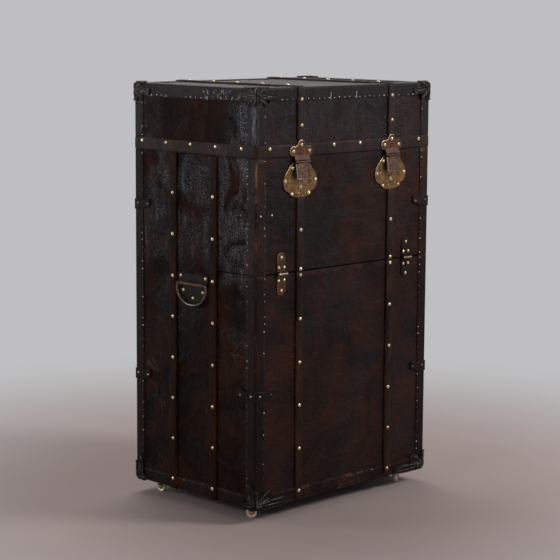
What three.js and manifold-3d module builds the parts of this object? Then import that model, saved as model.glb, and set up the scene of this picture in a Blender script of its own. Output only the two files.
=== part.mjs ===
// A leather-covered wardrobe trunk that stands on end on four small casters.
// Millimetres. +X is to the right seen from the front, +Y to the back and +Z up.
// The origin is on the floor, under the middle of the whole object.
// The lid turns back on two hinges. The fall front, with its two side cheeks, drops forward.
import * as THREE from "three";
import { mergeVertices } from "three/addons/utils/BufferGeometryUtils.js";
import Module from "manifold-3d";

const wasm = await Module();
wasm.setup();

// Whole trunk, measured over the edge bindings and without the casters
const trunk_width = 671;
const trunk_depth = 477;
const trunk_height = 1100;
const lid_height = 180;
const drop_height = 303;
const cheek_depth = 144;

// Boards, clearances and cutting
const board = 10;
const gap = 0.3;
const seam_gap = 0.6;
const overrun = 20;

// Leather binding along the edges
const binding_thickness = 1.5;
const binding_lip = 36;

// Band round the foot of the lid
const band_height = 33;
const band_thickness = 3;
const band_nail_rise = 24;
const band_front_nail_inset = 46.5;
const band_front_nail_inner = 51;
const band_side_nail_inset = 53;
const band_side_nail_pitch_share = 0.2044;
const band_side_nail_count = 5;

// Slats on the front, the top and the back, then on the two sides
const slat_spread_share = 0.5231;
const slat_width = 25;
const slat_thickness = 5;
const side_slat_spread = 79;
const side_slat_width = 28;

// Dome-headed nails, and how far each row stays from the ends of its slat
const nail_radius = 5.2;
const nail_height = 2.6;
const nail_top_share = 0.55;
const nail_sides = 6;
const lower_nail_count = 6;
const lower_nail_foot = 26;
const lower_nail_head = 9;
const drop_nail_foot = 8;
const drop_nail_step = 103;
const side_nail_count = 8;
const side_nail_foot = 29;
const side_nail_head = 107;
const lid_nail_drop = 30;
const lid_nail_step = 67;
const top_nail_count = 5;
const top_nail_inset = 49;

// Angle clamps over the four upright edges
const clamp_low_share = 0.2745;
const clamp_high_share = 0.7027;
const clamp_wing = 66;
const clamp_tall = 42;
const clamp_tongue = 22;
const clamp_thickness = 3.5;
const clamp_nail_near = 20;
const clamp_nail_far = 55;
const clamp_outline_shares = [[0, 1], [0.3, 1], [0.42, 0.62], [0.56, 0.86], [0.66, 0.52]];

// Corner caps: a leaf of three lobes on each face
const cap_thickness = 1.8;
const top_cap_across = 68;
const top_cap_along = 46;
const bottom_cap_across = 100;
const bottom_cap_along = 50;
const cap_side = 46;
const cap_sole = 34;
const cap_valley_share = 0.62;
const cap_lobes = 3;
const cap_steps = 12;

// Hinges of the fall front and of the lid
const hinge_inset = 92;
const hinge_width = 32;
const hinge_leaf = 55;
const hinge_leaf_thickness = 2.5;
const hinge_shoulder_share = 0.62;
const hinge_tip_share = 0.36;
const drop_hinge_proud = 8;
const lid_hinge_proud = 9;
const knuckle_radius = 4;
const knuckle_length = 10;
const hinge_pin_radius = 1.6;
const pin_clearance = 0.45;
const leaf_relief = 1.6;
const hinge_nail_far = 44;
const hinge_nail_near = 17;
const hinge_nail_side = 10;
const round_sides = 12;

// Hasps: a three-lobed plate on the lid, with a flap that hangs over the lock plate
const hasp_lobe_radius = 13;
const hasp_lobe_top = 30;
const hasp_lobe_side = 29;
const hasp_lobe_low = 14;
const hasp_plate_thickness = 2.5;
const hasp_neck = 54;
const hasp_drop = 14;
const hasp_proud = 11;
const hasp_knuckle_radius = 3.5;
const hasp_knuckle_length = 11;
const hasp_crank_top = 4;
const hasp_crank_low = 8;
const flap_width = 50;
const flap_length = 46;
const flap_thickness = 3;
const flap_foot_width = 46;
const flap_lip = 2;
const flap_tilt = THREE.MathUtils.degToRad(7);

// Lock plates on the fall front
const lock_half_width = 62;
const lock_top = 16;
const lock_foot = 107;
const lock_thickness = 2.5;
const lock_outline_shares = [
  [0.46, 1], [0.74, 0.8], [0.97, 0.6], [1, 0.48], [0.97, 0.34],
  [0.8, 0.2], [0.67, 0.17], [0.55, 0.08], [0.3, 0.01],
];
const lock_nail_shares = [[0.47, 0.85], [0.89, 0.48], [0.5, 0.11]];
const keyhole_radius = 6;
const keyhole_height = 1.5;
const keyhole_share = 0.3;

// Carrying handles, one on each side
const handle_height = 573;
const handle_plate_thickness = 2.5;
const handle_plate_half_width = 58;
const handle_plate_top = 27;
const handle_plate_foot = 52;
const handle_outline_shares = [[1, 1], [1, 0.45], [0.84, -0.18], [0.8, -0.52], [0.28, -0.94]];
const handle_nail_shares = [[0.84, 0.7], [0.66, -0.36], [0, -0.72]];
const handle_barrel_radius = 5;
const handle_barrel_half_length = 48;
const handle_proud = 8.3;
const bail_radius = 4;
const bail_half_width = 57;
const bail_drop = 56;
const bail_pin_radius = 2.5;
const bail_pin_length = 7;
const bail_bend = 8;
const bail_shoulder = 2.2;
const bail_corner_share = 0.62;
const bail_sides = 8;
const bail_steps = 28;

// Swivel casters
const caster_height = 39;
const caster_inset = 56;
const caster_pad = 19;
const wheel_radius = 14;
const wheel_width = 12;
const wheel_chamfer = 1.4;
const wheel_sides = 20;
const axle_radius = 2.4;
const caster_trail = 9.5;
const fork_thickness = 2;
const fork_eye_radius = 5;
const fork_crown_radius = 12;
const fork_crown_thickness = 3.4;
const swivel_radius = 8.5;
const wheel_clearance = 0.6;
const caster_headings = {
  front_left: THREE.MathUtils.degToRad(135),
  front_right: THREE.MathUtils.degToRad(225),
  back_left: THREE.MathUtils.degToRad(100),
  back_right: THREE.MathUtils.degToRad(60),
};

// Garment rail inside, under the lid
const rail_drop = 48;
const rail_back = 40;
const rail_radius = 9;
const rail_flange_radius = 20;
const rail_flange_thickness = 4;

// The lid board's outer face is laid in panels between its slats
const top_panels_across = 3;
const top_panels_deep = 4;

// Planes worked out from the sizes above
const skin_proud = gap + binding_thickness;
const half_x = trunk_width / 2 - skin_proud;
const half_y = trunk_depth / 2 - skin_proud;
const inner_x = half_x - board;
const inner_y = half_y - board;
const base_z = caster_height + skin_proud;
const top_z = caster_height + trunk_height - skin_proud;
const seam_z = caster_height + trunk_height - lid_height;
const split_z = seam_z - drop_height;
const cheek_y = -half_y + cheek_depth;
const lip_x = trunk_width / 2 - binding_lip;
const lip_y = trunk_depth / 2 - binding_lip;
const lip_low = caster_height + binding_lip;
const lip_high = caster_height + trunk_height - binding_lip;
const slat_spread = slat_spread_share * trunk_width / 2;
const hinge_spread = trunk_width / 2 - hinge_inset;
const clamp_height_low = clamp_low_share * trunk_height;
const clamp_height_high = clamp_high_share * trunk_height;
const slat_proud = gap + slat_thickness;
const band_proud = gap + band_thickness;
const band_top = seam_z + seam_gap / 2 + band_height;
const flap_reach = hasp_proud + flap_length * Math.sin(flap_tilt)
  + (flap_thickness / 2 + flap_lip) * Math.cos(flap_tilt);
const lid_hinge_reach = lid_hinge_proud + knuckle_radius;

// Turns a closed three.js geometry into a solid that can be joined and cut
function solid(geometry) {
  const bare = geometry.clone();
  bare.deleteAttribute("normal");
  bare.deleteAttribute("uv");
  const merged = mergeVertices(bare);
  const corners_of = merged.index.array;
  const kept = [];
  for (let i = 0; i < corners_of.length; i += 3) {
    const [a, b, c] = corners_of.slice(i, i + 3);
    if (a !== b && b !== c && c !== a) kept.push(a, b, c);
  }
  return new wasm.Manifold(new wasm.Mesh({
    numProp: 3,
    vertProperties: merged.attributes.position.array,
    triVerts: new Uint32Array(kept),
  }));
}

function join(pieces) {
  return pieces.reduce((sum, piece) => sum.add(piece));
}

function cut(body, tools) {
  return tools.reduce((rest, tool) => rest.subtract(tool), body);
}

// A box between two corners
function block(x, y, z) {
  const box = new THREE.BoxGeometry(x[1] - x[0], y[1] - y[0], z[1] - z[0]);
  box.translate((x[0] + x[1]) / 2, (y[0] + y[1]) / 2, (z[0] + z[1]) / 2);
  return box;
}

function both(size) {
  return [-size, size];
}

// An outline of [across, up] points, as thick as asked, standing on the local XY plane
function slab(points, thickness) {
  const outline = new THREE.Shape(points.map(([u, v]) => new THREE.Vector2(u, v)));
  return new THREE.ExtrudeGeometry(outline, { depth: thickness, bevelEnabled: false });
}

// The right half of an outline, followed by its mirror image
function mirrored(half) {
  const left = half.filter(([u]) => u > 0).reverse().map(([u, v]) => [-u, v]);
  return [...half, ...left];
}

// A turned solid about the local X axis between two places
function bar(radius, from, to, sides = round_sides) {
  const rod = new THREE.CylinderGeometry(radius, radius, to - from, sides);
  rod.rotateZ(-Math.PI / 2);
  rod.translate((from + to) / 2, 0, 0);
  return rod;
}

// How each face of the trunk lies: right, up and out, seen from outside
const faces = {
  front: new THREE.Matrix4().set(1, 0, 0, 0, 0, 0, -1, -half_y, 0, 1, 0, 0, 0, 0, 0, 1),
  back: new THREE.Matrix4().set(-1, 0, 0, 0, 0, 0, 1, half_y, 0, 1, 0, 0, 0, 0, 0, 1),
  left: new THREE.Matrix4().set(0, 0, -1, -half_x, -1, 0, 0, 0, 0, 1, 0, 0, 0, 0, 0, 1),
  right: new THREE.Matrix4().set(0, 0, 1, half_x, 1, 0, 0, 0, 0, 1, 0, 0, 0, 0, 0, 1),
  top: new THREE.Matrix4().set(1, 0, 0, 0, 0, 1, 0, 0, 0, 0, 1, top_z, 0, 0, 0, 1),
  bottom: new THREE.Matrix4().set(-1, 0, 0, 0, 0, 1, 0, 0, 0, 0, -1, base_z, 0, 0, 0, 1),
};

// Lays a geometry made in face coordinates onto a face, at a place across and up it
function lay(geometry, face, across, up, proud) {
  const laid = geometry.clone();
  laid.translate(across, up, proud);
  return laid.applyMatrix4(faces[face]);
}

function nail(face, across, up, proud) {
  const rim = new THREE.Vector2(nail_radius, 0);
  const foot = new THREE.Vector2(nail_radius, -binding_thickness);
  const crown = new THREE.Vector2(nail_radius * nail_top_share, nail_height);
  const profile = [new THREE.Vector2(0, foot.y), foot, rim, crown, new THREE.Vector2(0, crown.y)];
  const head = new THREE.LatheGeometry(profile, nail_sides);
  head.rotateX(Math.PI / 2);
  return solid(lay(head, face, across, up, proud));
}

// Adds a nail head at each [across, up] place of a face
function nailed(body, face, proud, places) {
  return join([body, ...places.map(([across, up]) => nail(face, across, up, proud))]);
}

// Evenly spaced values from low to high
function row(count, low, high) {
  return Array.from({ length: count }, (unused, i) => low + (high - low) * i / (count - 1));
}

function look(color, roughness, metalness) {
  return new THREE.MeshStandardMaterial({ color, roughness, metalness });
}

const looks = {
  leather: () => look(0x1d1819, 0.55, 0),
  binding: () => look(0x241c1b, 0.5, 0),
  band: () => look(0x38251c, 0.6, 0),
  slat: () => look(0x2c201b, 0.6, 0),
  iron: () => look(0x1b1a1b, 0.45, 0.8),
  copper: () => look(0x5d3a26, 0.45, 0.85),
  brass: () => look(0x80643a, 0.4, 0.9),
  steel: () => look(0x5b5051, 0.4, 0.85),
  wheel: () => look(0xc9b98f, 0.4, 0.6),
  lining: () => look(0x4a3a2c, 0.8, 0),
  wood: () => look(0x6b4a2e, 0.6, 0),
};

// A named mesh from a solid
function piece(name, body, finish) {
  const made = body.getMesh();
  const geometry = new THREE.BufferGeometry();
  geometry.setAttribute("position", new THREE.BufferAttribute(made.vertProperties, made.numProp));
  geometry.setIndex(new THREE.BufferAttribute(made.triVerts, 1));
  const flat = geometry.toNonIndexed();
  flat.computeVertexNormals();
  const mesh = new THREE.Mesh(flat, looks[finish]());
  mesh.name = name;
  return mesh;
}

const trunk = new THREE.Group();
trunk.position.y = (flap_reach - lid_hinge_reach) / 2;

// Carcass boards
const carcass_top = seam_z - seam_gap / 2;
const split_low = split_z - seam_gap / 2;
const split_high = split_z + seam_gap / 2;

function side_board(sign) {
  const outline = [
    [-half_y, base_z], [half_y, base_z], [half_y, carcass_top],
    [cheek_y + seam_gap, carcass_top], [cheek_y + seam_gap, split_low], [-half_y, split_low],
  ];
  const wall = slab(outline, board);
  wall.rotateX(Math.PI / 2);
  wall.rotateZ(Math.PI / 2);
  wall.translate(sign > 0 ? inner_x : -half_x, 0, 0);
  return solid(wall);
}

function carcass_boards() {
  const between = both(inner_x - gap);
  const floor_board = block(between, both(inner_y - gap), [base_z, base_z + board]);
  const back_board = block(between, [inner_y, half_y], [base_z, carcass_top]);
  const front_board = block(between, [-half_y, -inner_y], [base_z, split_low]);
  return [
    piece("bottom_panel", solid(floor_board), "lining"),
    piece("back_panel", solid(back_board), "leather"),
    piece("lower_front_panel", solid(front_board), "leather"),
    piece("left_side_panel", side_board(-1), "leather"),
    piece("right_side_panel", side_board(1), "leather"),
  ];
}

// Angle clamp over one upright edge, on the front or back face and on a side face
function clamp_wing_outline() {
  const [full, tongue] = [clamp_tall / 2, clamp_tongue / 2];
  const upper = clamp_outline_shares.map(([u, v]) => [u * clamp_wing, v * full]);
  upper.push([clamp_wing - tongue, tongue * cap_valley_share], [clamp_wing, 0]);
  const lower = upper.slice(0, -1).reverse().map(([u, v]) => [u, -v]);
  return [...upper, ...lower];
}

function clamp(x_sign, y_sign, height) {
  const wing = clamp_wing_outline();
  const corner_x = trunk_width / 2 + clamp_thickness - skin_proud;
  const corner_y = trunk_depth / 2 + clamp_thickness - skin_proud;
  const level = caster_height + height;
  const wings = [
    [corner_x, y_sign < 0 ? "front" : "back", x_sign],
    [corner_y, x_sign < 0 ? "left" : "right", y_sign],
  ];
  return join(wings.map(([corner, face, sign]) => {
    const flip = face === "back" || face === "left" ? -1 : 1;
    const along = flip * sign;
    const outline = wing.map(([u, v]) => [along * (corner - u), v]);
    const plate = solid(lay(slab(outline, clamp_thickness), face, 0, level, gap));
    const places = [clamp_nail_near, clamp_nail_far].map((inset) => [along * (corner - inset), level]);
    return nailed(plate, face, gap + clamp_thickness, places);
  }));
}

// Leather binding round the edges of the body, with its clamps and the pads over the casters
function body_edge_binding() {
  const level = [caster_height, carcass_top];
  const sheet = solid(block(both(trunk_width / 2), both(trunk_depth / 2), level));
  const windows = [
    block(both(half_x + gap), both(half_y + gap), [base_z - gap, seam_z]),
    block(both(lip_x), both(trunk_depth), [lip_low, seam_z]),
    block(both(trunk_width), both(lip_y), [lip_low, seam_z]),
    block(both(lip_x), both(lip_y), [0, lip_low]),
    block(both(trunk_width), [-trunk_depth, cheek_y + seam_gap], [split_low, seam_z]),
  ];
  const clamps = [
    ...[-1, 1].map((side) => clamp(side, -1, clamp_height_low)),
    ...[-1, 1].map((side) => clamp(side, 1, clamp_height_low)),
    ...[-1, 1].map((side) => clamp(side, 1, clamp_height_high)),
  ];
  const pad_edge = caster_inset + caster_pad;
  const pad_span = (sign, lip, size) => (
    [sign * (lip + binding_thickness), sign * (size / 2 - pad_edge)].sort((a, b) => a - b)
  );
  const pads = [-1, 1].flatMap((x) => [-1, 1].map((y) => solid(block(
    pad_span(x, lip_x, trunk_width), pad_span(y, lip_y, trunk_depth),
    [caster_height, caster_height + binding_thickness],
  ))));
  const wrapped = cut(sheet, windows.map(solid));
  return piece("body_edge_binding", join([wrapped, ...clamps, ...pads]), "binding");
}

// The space that the bindings fill, with its clearance, in front of and behind the boards
function under_low_binding(face) {
  const reach = face === "side" ? both(half_x + skin_proud + gap) : both(trunk_width);
  const depth = face === "side" ? both(trunk_depth) : both(half_y + skin_proud + gap);
  return solid(block(reach, depth, [0, lip_low + gap]));
}

// A slat on the front or the back of the body
function upright_slat(name, face, across, low, high, nails) {
  const y_sign = face === "front" ? -1 : 1;
  const depth = [y_sign * (half_y + gap), y_sign * (half_y + slat_proud)].sort((a, b) => a - b);
  const width = [across - slat_width / 2, across + slat_width / 2];
  const plain = solid(block(width, depth, [low, high])).subtract(under_low_binding("front"));
  const flip = face === "front" ? 1 : -1;
  return piece(name, nailed(plain, face, slat_proud, nails.map((up) => [flip * across, up])), "slat");
}

// A slat on one of the two sides of the body
function side_slat(name, face, along) {
  const x_sign = face === "left" ? -1 : 1;
  const depth = [x_sign * (half_x + gap), x_sign * (half_x + slat_proud)].sort((a, b) => a - b);
  const width = [along - side_slat_width / 2, along + side_slat_width / 2];
  const high = carcass_top - seam_gap;
  const plain = solid(block(depth, width, [caster_height, high])).subtract(under_low_binding("side"));
  const nails = row(side_nail_count, caster_height + side_nail_foot, seam_z - side_nail_head);
  return piece(name, nailed(plain, face, slat_proud, nails.map((up) => [x_sign * along, up])), "slat");
}

function body_slats() {
  const made = [];
  const foot = caster_height + lower_nail_foot;
  for (const [side, across] of [["left", -slat_spread], ["right", slat_spread]]) {
    const front_nails = row(lower_nail_count, foot, split_z - lower_nail_head);
    made.push(upright_slat("lower_strip_" + side, "front", across, caster_height, split_low, front_nails));
    const back_nails = row(side_nail_count, foot, seam_z - side_nail_head);
    const back_top = carcass_top - seam_gap;
    made.push(upright_slat("back_strip_" + side, "back", across, caster_height, back_top, back_nails));
    made.push(side_slat(side + "_strip_front", side, -side_slat_spread));
    made.push(side_slat(side + "_strip_back", side, side_slat_spread));
  }
  return made;
}

// One hinge leaf with its knuckles, about an axis on the local X axis, the leaf along +Y
function hinge_leaf_solid(base, proud, middle) {
  const half = hinge_width / 2;
  const start = knuckle_radius + leaf_relief;
  const shoulder = hinge_leaf * hinge_shoulder_share;
  const outline = mirrored([
    [half, start], [half, shoulder], [half * hinge_tip_share, hinge_leaf],
  ]);
  const leaf = solid(slab(outline, hinge_leaf_thickness).translate(0, 0, base - proud));
  const spans = middle
    ? [both(half - knuckle_length - gap)]
    : [[-half, knuckle_length - half], [half - knuckle_length, half]];
  const parts = spans.map((span) => {
    const low = base - proud;
    const web = solid(block(span, [0, start + leaf_relief], [low, low + hinge_leaf_thickness]));
    const arm = solid(block(span, [0, hinge_leaf_thickness], [low, 0]));
    return join([web, arm, solid(bar(knuckle_radius, span[0], span[1]))]);
  });
  const joined = join([leaf, ...parts]);
  if (middle) {
    return joined.subtract(solid(bar(hinge_pin_radius + pin_clearance, -half, half)));
  }
  return joined.add(solid(bar(hinge_pin_radius, -half, half)));
}

// A hinge leaf laid on a face, pointing up or down from its axis, with its nails
function hinge(name, face, across, axis_z, up, base, proud, middle) {
  const turned = new THREE.Matrix4().makeScale(up > 0 ? 1 : -1, up, 1);
  const place = faces[face].clone()
    .multiply(new THREE.Matrix4().makeTranslation(across, axis_z, proud))
    .multiply(turned);
  const leaf = hinge_leaf_solid(base, proud, middle).transform(place.elements.slice());
  const places = [
    [across, axis_z + up * hinge_nail_far],
    [across - hinge_nail_side, axis_z + up * hinge_nail_near],
    [across + hinge_nail_side, axis_z + up * hinge_nail_near],
  ];
  return piece(name, nailed(leaf, face, base + hinge_leaf_thickness, places), "copper");
}

function handle_plate(side) {
  const scale = ([u, v]) => [
    u * handle_plate_half_width, v * (v > 0 ? handle_plate_top : handle_plate_foot),
  ];
  const outline = mirrored([...handle_outline_shares.map(scale), [0, -handle_plate_foot]]);
  const level = caster_height + handle_height;
  const plate = solid(lay(slab(outline, handle_plate_thickness), side, 0, level, gap));
  const length = handle_barrel_half_length;
  const barrel = solid(lay(bar(handle_barrel_radius, -length, length), side, 0, level, handle_proud));
  const web = solid(lay(
    block(both(length), both(handle_plate_thickness), [gap, handle_proud]), side, 0, level, 0,
  ));
  const bore_depth = bail_pin_length + gap;
  const bores = [-1, 1].map((end) => {
    const span = [end * (length + overrun), end * (length - bore_depth)].sort((a, b) => a - b);
    const hole = bar(bail_pin_radius + pin_clearance, span[0], span[1]);
    return solid(lay(hole, side, 0, level, handle_proud));
  });
  const spots = handle_nail_shares.map(scale).flatMap(([u, v]) => (u ? [[u, v], [-u, v]] : [[u, v]]));
  const places = spots.map(([u, v]) => [u, level + v]);
  const body = cut(join([plate, barrel, web]), bores);
  return piece("handle_plate_" + side, nailed(body, side, gap + handle_plate_thickness, places), "copper");
}

// A flat leaf of lobes that reaches across and up from a corner at the local origin
function leaf_outline(across, up) {
  const points = [[0, 0]];
  for (let i = 0; i <= cap_steps; i += 1) {
    const turn = i / cap_steps;
    const wave = (1 + Math.cos(turn * (cap_lobes - 1) * 2 * Math.PI)) / 2;
    const reach = cap_valley_share + (1 - cap_valley_share) * wave;
    const angle = turn * Math.PI / 2;
    points.push([across * reach * Math.cos(angle), up * reach * Math.sin(angle)]);
  }
  return points;
}

// Cap over one corner, with a leaf on its front or back, on its side and on its end
function corner_cap(name, x_sign, y_sign, z_sign) {
  const [across, along] = z_sign > 0
    ? [top_cap_across, top_cap_along] : [bottom_cap_across, bottom_cap_along];
  const off = skin_proud + gap;
  const outer = off + cap_thickness;
  const [corner_x, corner_y] = [half_x + outer, half_y + outer];
  const corner_z = z_sign > 0 ? top_z + outer : base_z - outer;
  const wing = (face, sign, corner, wide) => {
    const flip = face === "back" || face === "left" ? -sign : sign;
    const points = leaf_outline(wide, along).map(([u, v]) => [flip * (corner - u), -z_sign * v]);
    return solid(lay(slab(points, cap_thickness), face, 0, corner_z, off));
  };
  const end_size = z_sign > 0 ? along : cap_sole;
  const end_points = leaf_outline(end_size, end_size).map(([u, v]) => [
    z_sign * x_sign * (corner_x - u), y_sign * (corner_y - v),
  ]);
  const end_face = z_sign > 0 ? "top" : "bottom";
  const end = solid(lay(slab(end_points, cap_thickness), end_face, 0, 0, off));
  return piece(name, join([
    wing(y_sign < 0 ? "front" : "back", x_sign, corner_x, across),
    wing(x_sign < 0 ? "left" : "right", y_sign, corner_y, cap_side),
    end,
  ]), "iron");
}

const corners = [
  ["front_left", -1, -1], ["front_right", 1, -1], ["back_left", -1, 1], ["back_right", 1, 1],
];

function corner_caps(prefix, z_sign) {
  return corners.map(([place, x, y]) => corner_cap(prefix + "_corner_" + place, x, y, z_sign));
}

// Turns a profile of [radius, height] points, closed on itself or ending on the axis, about Z
function turned(profile, sides) {
  const shape = new THREE.LatheGeometry(profile.map(([r, h]) => new THREE.Vector2(r, h)), sides);
  shape.rotateX(Math.PI / 2);
  return shape;
}

// Rail for clothes hangers, with a flange against each side board
function garment_rail() {
  const end = inner_x - gap;
  const [foot, rod] = [rail_flange_radius, rail_radius];
  const shoulder = end - rail_flange_thickness;
  const rail = turned([
    [0, -end], [foot, -end], [foot, -shoulder], [rod, -shoulder],
    [rod, shoulder], [foot, shoulder], [foot, end], [0, end],
  ], round_sides);
  rail.rotateY(Math.PI / 2);
  rail.translate(0, rail_back, seam_z - rail_drop);
  return piece("garment_rail", solid(rail), "wood");
}

// Lid: a board over a rim of four walls
const lid_foot = seam_z + seam_gap / 2;
const lid_board_under = top_z - board;

function lid_boards() {
  const board_box = new THREE.BoxGeometry(
    2 * half_x, 2 * half_y, board, top_panels_across, top_panels_deep, 1,
  );
  board_box.translate(0, 0, top_z - board / 2);
  const walls = solid(block(both(half_x), both(half_y), [lid_foot, lid_board_under - gap]));
  const hollow = solid(block(both(inner_x), both(inner_y), [seam_z - overrun, top_z]));
  return [
    piece("lid_top_panel", solid(board_box), "leather"),
    piece("lid_rim", walls.subtract(hollow), "leather"),
  ];
}

function lid_edge_binding() {
  const level = [band_top + gap, top_z + skin_proud];
  const sheet = solid(block(both(trunk_width / 2), both(trunk_depth / 2), level));
  const windows = [
    block(both(half_x + gap), both(half_y + gap), [seam_z, top_z + gap]),
    block(both(lip_x), both(trunk_depth), [seam_z, lip_high]),
    block(both(trunk_width), both(lip_y), [seam_z, lip_high]),
    block(both(lip_x), both(lip_y), [seam_z, top_z + overrun]),
  ];
  return piece("lid_edge_binding", cut(sheet, windows.map(solid)), "binding");
}

function lid_band() {
  const outer = [half_x + band_proud, half_y + band_proud];
  const ring = solid(block(both(outer[0]), both(outer[1]), [lid_foot, band_top]))
    .subtract(solid(block(both(half_x + gap), both(half_y + gap), [seam_z - overrun, top_z])));
  const level = lid_foot + band_nail_rise;
  const outer_nail = trunk_width / 2 - band_front_nail_inset;
  const long_side = [-1, 1].flatMap((s) => [s * outer_nail, s * band_front_nail_inner]);
  const side_first = band_side_nail_inset - trunk_depth / 2;
  const side_step = band_side_nail_pitch_share * trunk_depth;
  const short_side = row(
    band_side_nail_count, side_first, side_first + side_step * (band_side_nail_count - 1),
  );
  const spots = (values) => values.map((across) => [across, level]);
  const fronted = nailed(ring, "front", band_proud, spots(long_side));
  const backed = nailed(fronted, "back", band_proud, spots(long_side));
  const lefted = nailed(backed, "left", band_proud, spots(short_side.map((y) => -y)));
  return piece("lid_band", nailed(lefted, "right", band_proud, spots(short_side)), "band");
}

// A slat up the front of the lid, over its top and down its back
function lid_slat(name, across) {
  const width = [across - slat_width / 2, across + slat_width / 2];
  const front_low = seam_z + hasp_lobe_top + hasp_lobe_radius + seam_gap;
  const outer = solid(block(width, both(half_y + slat_proud), [band_top + gap, top_z + slat_proud]));
  const reach = half_y + skin_proud + gap;
  const edge = lip_y - gap;
  const tools = [
    block(both(trunk_width), both(half_y + gap), [seam_z, top_z + gap]),
    block(both(trunk_width), [-trunk_depth, -half_y], [seam_z, front_low]),
    block(both(trunk_width), [-reach, -edge], [lip_high - gap, top_z + skin_proud + gap]),
    block(both(trunk_width), [edge, reach], [lip_high - gap, top_z + skin_proud + gap]),
  ];
  const upright = [top_z - lid_nail_drop, top_z - lid_nail_drop - lid_nail_step];
  const strip = cut(outer, tools.map(solid));
  const fronted = nailed(strip, "front", slat_proud, upright.map((up) => [across, up]));
  const backed = nailed(fronted, "back", slat_proud, upright.map((up) => [-across, up]));
  const nail_reach = trunk_depth / 2 - top_nail_inset;
  const deep = row(top_nail_count, -nail_reach, nail_reach);
  return piece(name, nailed(backed, "top", slat_proud, deep.map((y) => [across, y])), "slat");
}

// A disc on the local XY plane
function disc(radius, thickness, across, up) {
  const round = new THREE.CylinderGeometry(radius, radius, thickness, round_sides);
  round.rotateX(Math.PI / 2);
  return round.translate(across, up, thickness / 2);
}

// Three-lobed hasp plate, cranked outwards over the seam to the flap's pin
function hasp_plate(name, across) {
  const depth = hasp_proud + hasp_knuckle_radius;
  const lobes = [[0, hasp_lobe_top], [-hasp_lobe_side, hasp_lobe_low], [hasp_lobe_side, hasp_lobe_low]];
  const half = hasp_neck / 2;
  const neck = mirrored([[half, -hasp_drop], [half, hasp_lobe_low], [0, hasp_lobe_top]]);
  const outline = join([solid(slab(neck, depth)), ...lobes.map(([u, v]) => (
    solid(disc(hasp_lobe_radius, depth, u, v))
  ))]);
  const [back, face] = [band_proud + gap, band_proud + gap + hasp_plate_thickness];
  const rise = hasp_lobe_top + hasp_lobe_radius;
  const inside = hasp_proud - hasp_plate_thickness;
  const side_view = slab([
    [back, rise], [face, rise], [face, hasp_crank_top],
    [hasp_proud, -hasp_crank_low], [hasp_proud, -hasp_drop],
    [inside, -hasp_drop], [inside, -hasp_crank_low], [back, seam_gap],
  ], 2 * (hasp_lobe_side + hasp_lobe_radius));
  side_view.rotateY(-Math.PI / 2);
  side_view.translate(hasp_lobe_side + hasp_lobe_radius, 0, 0);
  const plate = outline.intersect(solid(side_view));
  const barrel = (radius, from, to) => (
    solid(bar(radius, from, to).translate(0, -hasp_drop, hasp_proud))
  );
  const inner = half - hasp_knuckle_length;
  const relief = solid(block(
    both(inner), [-hasp_drop - overrun, hasp_knuckle_radius + leaf_relief - hasp_drop], [0, depth + overrun],
  ));
  const outer_ends = [barrel(hasp_knuckle_radius, -half, -inner), barrel(hasp_knuckle_radius, inner, half)];
  const made = join([plate.subtract(relief), ...outer_ends, barrel(hinge_pin_radius, -half, half)]);
  const placed = made.transform(faces.front.clone()
    .multiply(new THREE.Matrix4().makeTranslation(across, seam_z, 0)).elements.slice());
  const places = lobes.map(([u, v]) => [across + u, seam_z + v]);
  return piece(name, nailed(placed, "front", face, places), "copper");
}

// Flap that hangs from the hasp plate's pin, tilted a little away from the lock plate
function hasp_flap(name, across) {
  const knuckle = hasp_neck / 2 - hasp_knuckle_length - gap;
  const start = hasp_knuckle_radius + leaf_relief;
  const outline = [
    [-flap_width / 2, -start], [flap_width / 2, -start],
    [flap_foot_width / 2, -flap_length], [-flap_foot_width / 2, -flap_length],
  ];
  const leaf = slab(outline, flap_thickness).translate(0, 0, -flap_thickness / 2);
  const lip = block(
    both(flap_foot_width / 2), [-flap_length, flap_thickness - flap_length],
    [0, flap_thickness / 2 + flap_lip],
  );
  const neck = block(both(knuckle), [-start - flap_thickness, 0], both(flap_thickness / 2));
  const tube = bar(hasp_knuckle_radius, -knuckle, knuckle);
  const bore = solid(bar(hinge_pin_radius + pin_clearance, -knuckle - overrun, knuckle + overrun));
  const made = join([leaf, lip, neck, tube].map(solid)).subtract(bore);
  const place = faces.front.clone()
    .multiply(new THREE.Matrix4().makeTranslation(across, seam_z - hasp_drop, hasp_proud))
    .multiply(new THREE.Matrix4().makeRotationX(-flap_tilt));
  return piece(name, made.transform(place.elements.slice()), "steel");
}

// Fall front: a front board between two cheeks
function fall_front() {
  const high = carcass_top;
  const shell = solid(block(both(half_x), [-half_y, cheek_y], [split_high, high]));
  const hollow = solid(block(both(inner_x), [-inner_y, half_y], [base_z, top_z]));
  return piece("drop_front_shell", shell.subtract(hollow), "leather");
}

function drop_binding(name, x_sign) {
  const span = (from, to) => [x_sign * from, x_sign * to].sort((a, b) => a - b);
  const level = [split_high, carcass_top];
  const sheet = solid(block(
    span(lip_x, trunk_width / 2), [-trunk_depth / 2, -lip_y], level,
  ));
  const inside = solid(block(
    span(0, half_x + gap), [-half_y - gap, half_y], [base_z, top_z],
  ));
  return piece(name, sheet.subtract(inside).add(clamp(x_sign, -1, clamp_height_high)), "binding");
}

function drop_slat(name, across) {
  const foot = split_z + drop_nail_foot;
  const high = seam_z - lock_foot - seam_gap;
  return upright_slat(name, "front", across, split_high, high, [foot, foot + drop_nail_step]);
}

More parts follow.
